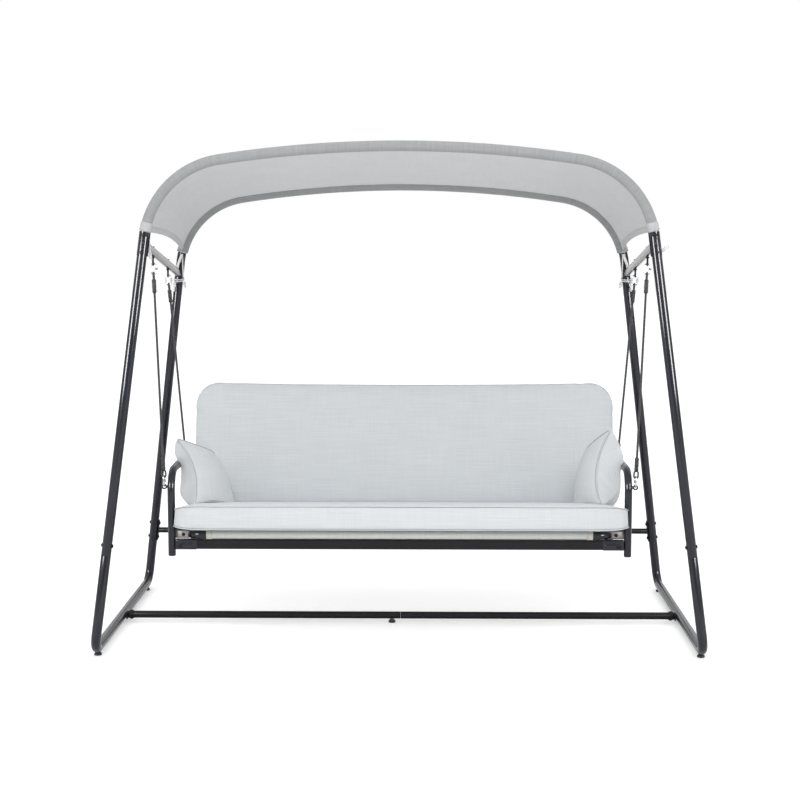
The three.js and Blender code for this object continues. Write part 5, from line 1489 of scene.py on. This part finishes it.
class Cover:
    """Two panels cut alike and sewn together, with a boxing strip of the levels between them or
    edge to edge where there are none."""

    def __init__(self, cut, top, under, levels):
        rows, columns = cut.shape[:2]
        count = rows * columns
        index = np.arange(count).reshape(rows, columns)
        rim = rim_of(index)
        below = index + count
        points = [top.reshape(-1, 3), under.reshape(-1, 3)]
        panel = Shell.corners(cut).reshape(-1, 4, 2)
        if levels:
            edge_top, edge_under = points[0][rim], points[1][rim]
            share = np.linspace(0, 1, levels + 2)[1:-1, None, None]
            points.append((edge_under + (edge_top - edge_under) * share).reshape(-1, 3))
            between = 2 * count + np.arange(levels * len(rim)).reshape(levels, len(rim))
            band = np.vstack([rim + count, between, rim])
            band = np.hstack([band, band[:, :1]])
            run = lengths_along(np.vstack([edge_top, edge_top[:1]]))
            height = np.linspace(0, (edge_top - edge_under)[:, 2].mean(), levels + 2)
            strip = Shell.corners(np.stack(np.meshgrid(run, height), axis=2)).reshape(-1, 4, 2)
            bands, strips = [Shell.corners(band).reshape(-1, 4)], [strip]
        else:
            below.ravel()[rim] = rim
            bands, strips = [], []
        quads = [Shell.corners(index).reshape(-1, 4)[:, ::-1], Shell.corners(below).reshape(-1, 4)]
        quads = np.concatenate(quads + bands)
        self.places = np.concatenate([panel[:, ::-1], panel] + strips).reshape(-1, 2)
        used, quads = np.unique(quads, return_inverse=True)
        self.quads = quads.reshape(-1, 4)
        self.points = np.concatenate(points)[used]
        number = np.full(used.max() + 1, -1)
        number[used] = np.arange(len(used))
        self.rim_top = number[rim]
        self.rim_under = number[rim + count] if levels else self.rim_top
        self.top = number[index.ravel()]
        self.under = number[below.ravel()]

    def blow(self, held, pressure, cap):
        """Blows the cover up, as the function blown does."""
        self.points = blown(self.points, self.quads.tolist(), held, pressure, cap)
        return self

    def piece(self, name, finish, node, to_place):
        """The cover as a padded piece in its finish, put in place by a function of its points."""
        shell = Shell()
        shell.points = [to_place(self.points)]
        shell.faces = self.quads.tolist()
        shell.places = [self.places]
        obj = shell.piece(name, finish, [node], sharp=75)
        smooth = obj.modifiers.new("smooth", "SUBSURF")
        smooth.levels = smooth.render_levels = 1
        return obj

    def welt(self, rim, outward, lift, radius, to_place):
        """A narrow welt along a seam: a round cord of the radius carried round the rim's points,
        moved outward and lifted."""
        line = self.points[rim]
        line = (np.roll(line, 1, axis=0) + 2 * line + np.roll(line, -1, axis=0)) / 4
        line = line + unit(line * [1, 1, 0]) * outward + Z_AXIS * lift
        ways = unit(np.roll(line, -1, axis=0) - np.roll(line, 1, axis=0))
        side = unit(np.cross(ways, Z_AXIS))
        return to_place(carried((line, ways), side, circle(radius, 8)))


def make_cushion(name, node, to_place, half_x, half_y, pad):
    """A boxed cushion. Its cover starts a little small and is blown up, held where it lies on the
    sling and lightly at the seams. The upper panel rises by crown x (1 - x^8) (1 - y^4), and both
    ends are drawn flatter, by pinch x x^30."""
    half_x = half_x + pad["wider"]
    cut = cut_places(half_x - COVER_EASE, half_y - COVER_EASE, pad["corner"], PAD_PULL, 6, COVER_STEP)
    share = cut / [half_x, half_y]
    bulge = (1 - share[..., :1] ** 8) * (1 - share[..., 1:] ** 4)
    flat = 1 - END_PINCH * np.abs(share[..., :1]) ** 30
    top = np.concatenate([cut, (pad["boxing"] / 2 + pad["crown"] * bulge) * flat], axis=2)
    under = np.concatenate([cut, -pad["boxing"] / 2 * flat], axis=2)
    cover = Cover(cut, top, under, 5)
    held = np.zeros(len(cover.points))
    held[cover.rim_top] = SEAM_HOLD
    held[cover.under] = 1.0
    held[cover.rim_under] = LOWER_SEAM_HOLD
    cover.blow(held, PAD_PRESSURE, pad["swell"])
    cover.piece(name, "cushion_cloth", node, to_place)
    welts, threads = Shell(), Shell()
    for rim, lift in ((cover.rim_top, -WELT_R), (cover.rim_under, WELT_R)):
        welts.loop(cover.welt(rim, 0.0, 0.0, WELT_R, to_place))
        threads.loop(cover.welt(rim, THREAD_OUT, 1.4 * lift, THREAD_R, to_place))
    welts.piece(f"{name}_welts", "cushion_cloth", [], "bench", 80)
    threads.piece(f"{name}_threads", "seam_thread", [], "bench", 80)


def beside_posts(points):
    """Seat pad's points, pressed in where the arms' posts stand and swelling out in front of them.
    Near a post means exp(-(distance / near)^4), and the swell grows with the tenth power of x."""
    low, high = box_of("right_arm_loop")
    inner = ARM_HALF - BENCH_R - GAP
    x, y = np.abs(points[..., 0]), points[..., 1]
    near = 0.0
    for post_y in (low[1] + BENCH_R, high[1] - BENCH_R):
        away = y - (post_y - SEAT.origin[1]) / math.cos(SEAT_TILT)
        near = near + np.exp(-(away / POST_NEAR) ** 4)
    before = np.clip((low[1] - SEAT.origin[1] - y) / POST_BEFORE, 0, 1)
    swell = POST_BULGE * (x / inner) ** 10 * before * before * (3 - 2 * before)
    x = x - np.maximum(x - inner, 0) * near + swell
    return np.concatenate([(np.sign(points[..., 0]) * x)[..., None], points[..., 1:]], axis=-1)


def inside_arms(points):
    """Points kept between the arms up to the height of their rails, and freer above it. They press
    softly: of an excess e over a start just before the limit, soft x (1 - exp(-e / soft)) is left."""
    inner = ARM_HALF - BENCH_R - GAP
    rail = box_of("right_arm_loop")[1][2] - 2 * BENCH_R
    free = np.clip((points[..., 2] - rail) / ARM_FREE_RISE, 0, 1) * ARM_FREE_WIDE
    excess = np.maximum(np.abs(points[..., 0]) - (inner - SOFT_PRESS + free), 0)
    left = SOFT_PRESS * (1 - np.exp(-excess / SOFT_PRESS))
    points[..., 0] -= np.sign(points[..., 0]) * (excess - left)
    return points


def make_cushions():
    """The seat pad lies in the seat's own frame and the back pad stands in the back's, both in the
    space that their solids hold and pushed a little to one side, as they lie in use."""
    pad = PADS["seat"]
    own = SEAT.own(corners_of("seat_cushion"))
    low, high = own.min(axis=0), own.max(axis=0)
    base = low[2] + PAD_UNDER_CROWN + pad["boxing"] / 2
    centre = np.array([pad["aside"], (low[1] + high[1]) / 2, base])
    make_cushion("seat_pad", "seat_cushion", lambda points: SEAT.at(beside_posts(points + centre)),
                 box_of("seat_cushion")[1][0], (high[1] - low[1]) / 2, pad)

    pad = PADS["back"]
    own = BACK.own(corners_of("back_cushion"))
    low, high = own.min(axis=0), own.max(axis=0)
    base = high[1] - PAD_UNDER_CROWN - pad["boxing"] / 2
    middle = (low[2] + high[2]) / 2

    def stand(points):
        """The back pad's points, stood up in the back's frame between the arms."""
        x = points[..., 0] + pad["aside"]
        along = base - points[..., 2]
        up = middle - BACK_TUCK + points[..., 1]
        return inside_arms(BACK.at(np.stack([x, along, up], axis=-1)))

    make_cushion("back_pad", "back_cushion", stand,
                 box_of("seat_cushion")[1][0], (high[2] - low[2]) / 2 + BACK_TUCK, pad)


def rested(points):
    """Pillow's points, flattened where they meet the seat pad, and kept inside the arms."""
    own = SEAT.own(points)
    pad = PADS["seat"]
    base = SEAT.own(corners_of("seat_cushion"))[:, 2].min()
    floor = base + pad["boxing"] + pad["swell"] / 2 - PILLOW_SINK
    own[..., 2] = floor + SOFT_PRESS * np.logaddexp(0, (own[..., 2] - floor) / SOFT_PRESS)
    return inside_arms(SEAT.at(own))


def pillow_axes(way, sign):
    """A pillow's own axes on the seat, after it leans over, twists in its plane and turns."""
    tip = sign * (math.radians(way["lean"]) - math.pi / 2)
    twist, turn = math.radians(way["twist"]), math.radians(way["turn"])
    across = math.cos(tip) * X_AXIS - math.sin(tip) * SEAT.up
    out = math.sin(tip) * X_AXIS + math.cos(tip) * SEAT.up
    axes = np.stack([
        across * math.cos(twist) + SEAT.along * math.sin(twist),
        SEAT.along * math.cos(twist) - across * math.sin(twist),
        out,
    ])
    upright = np.outer(axes @ SEAT.up, SEAT.up)
    return axes * math.cos(turn) + np.cross(SEAT.up, axes) * math.sin(turn) + upright * (1 - math.cos(turn))


def make_pillows():
    """Knife-edged pillows that lean on the arms: two panels with drawn-in sides meet in a seam with
    a line of thread along each side. Their halves start at rise x sqrt((1 - x^2) (1 - y^2)), are
    blown up, and then bent by the square of x. The upper corner at the back folds outwards by the
    square of x times y."""
    half = PILLOW_SIZE / 2
    cut = cut_places(half - PILLOW_EASE, half - PILLOW_EASE, PILLOW_CORNER, PILLOW_PULL, 2, PILLOW_STEP)
    share = np.clip(cut / half, -1, 1)
    swell = np.sqrt((1 - share[..., :1] ** 2) * (1 - share[..., 1:] ** 2))
    rise = (PILLOW_THICK / 2 - PILLOW_SLACK) * swell
    cover = Cover(cut, np.concatenate([cut, rise], axis=2), np.concatenate([cut, -rise], axis=2), 0)
    held = np.zeros(len(cover.points))
    held[cover.rim_top] = SEAM_HOLD
    cover.blow(held, PILLOW_PRESSURE, PILLOW_SWELL)
    for side, sign in SIDES.items():
        way = PILLOWS[side]
        axes = pillow_axes(way, sign)
        centre = middle_of(f"{side}_pillow") + way["shift"]

        def stand(points):
            """The pillow's points, sized, bent and folded, and set on the seat."""
            points = points * way["size"] * np.array([1, 1, way["plump"]])
            x, y = points[..., :1] / half, points[..., 1:2] / half
            corner = np.clip(sign * x, 0, 1) * np.clip(y, 0, 1)
            points = points + Z_AXIS * (way["bend"] * x**2 - way["fold"] * corner**2)
            return rested(centre + points @ axes)

        name = f"{side}_throw_pillow"
        cover.piece(name, "pillow_cloth", f"{side}_pillow", stand)
        seam = Shell().loop(cover.welt(cover.rim_top, PILLOW_SEAM_OUT, 0.0, WELT_R, stand))
        seam.piece(f"{name}_seam", "pillow_cloth", [], "bench", 80)
        threads = Shell()
        for lift in (-PILLOW_THREAD_LIFT, PILLOW_THREAD_LIFT):
            threads.loop(cover.welt(cover.rim_top, -PILLOW_THREAD_IN, lift, THREAD_R, stand))
        threads.piece(f"{name}_threads", "seam_thread", [], "bench", 80)


# Camera, lights and floor

def make_camera():
    """The camera, in the photograph's place."""
    data = bpy.data.cameras.new("camera")
    data.lens = LENS
    data.sensor_width = SENSOR
    camera = bpy.data.objects.new("camera", data)
    camera.location = EYE
    camera.rotation_euler = (math.pi / 2 - EYE_DROP_ANGLE, 0, EYE_TURN)
    bpy.context.scene.collection.objects.link(camera)
    bpy.context.scene.camera = camera


def make_light(name, place, aim, size, power, lights, shines):
    """A soft box that the camera doesn't see. It may light the object, shine in its gloss, or both."""
    data = bpy.data.lights.new(name, "AREA")
    data.shape = "RECTANGLE"
    data.size, data.size_y = size
    data.energy = power
    light = bpy.data.objects.new(name, data)
    light.location = place
    light.rotation_euler = (Vector(aim) - Vector(place)).to_track_quat("-Z", "Y").to_euler()
    light.visible_camera = False
    light.visible_diffuse = lights
    light.visible_glossy = shines
    bpy.context.scene.collection.objects.link(light)


def make_floor():
    """A broad white floor that glows a little to the eye alone."""
    mesh = bpy.data.meshes.new("floor")
    corners = [(x * FLOOR_HALF, y * FLOOR_HALF, 0) for x, y in ((-1, -1), (1, -1), (1, 1), (-1, 1))]
    mesh.from_pydata(corners, [], [(0, 1, 2, 3)])
    floor = bpy.data.objects.new("floor", mesh)
    bpy.context.scene.collection.objects.link(floor)
    shader = Shader("pale_floor", Roughness=0.9, Emission_Strength=FLOOR_GLOW)
    shader.out("Base Color", grey(0.92))
    seen = shader.node("ShaderNodeLightPath", None, None, "Is Camera Ray")
    shader.out("Emission Color", shader.blend(seen, grey(0.0), grey(1.0)))
    mesh.materials.append(shader.material)


def make_studio():
    """A white sweep: the room is white to the eye and dimmer as a light, brighter overhead, far
    behind the bench and at its sides, with the lamps about it."""
    bpy.context.scene.view_settings.view_transform = "Standard"
    world = bpy.data.worlds.new("studio")
    bpy.context.scene.world = world
    world.use_nodes = True
    room = Tree(world.node_tree)
    way = room.node("ShaderNodeTexCoord", None, None, "Generated")
    aside, back, up = (room.node("ShaderNodeSeparateXYZ", None, {0: way}, axis) for axis in range(3))
    overhead = room.spread(up, 0.10, 0.60, DIM_WALL, BRIGHT_CEILING)
    behind = room.spread(back, 0.93, 0.975, 0.0, BACK_WALL)
    beside = room.spread(aside.math("ABSOLUTE"), 0.72, 0.92, 0.0, SIDE_WALL)
    strength = overhead + behind + beside
    light = room.node("ShaderNodeBackground", None, {"Color": grey(1.0), "Strength": strength})
    seen = room.node("ShaderNodeBackground", None, {"Color": grey(1.0), "Strength": 1.0})
    camera = room.node("ShaderNodeLightPath", None, None, "Is Camera Ray")
    both = room.node("ShaderNodeMixShader", None, {0: camera, 1: light, 2: seen})
    room.feed(world.node_tree.nodes["World Output"].inputs["Surface"], both)
    for name, lamp in LAMPS.items():
        make_light(name, *lamp)


make_camera()
make_studio()
make_floor()
make_side_frames()
make_hoops()
make_side_bars()
make_floor_bars()
make_bolts()
make_leg_saddles()
make_feet()
make_eyes()
make_hangers()
make_canopy()
make_arm_loops()
make_cross_bars()
make_seat_frame()
make_back_frame()
make_slings()
make_cushions()
make_pillows()
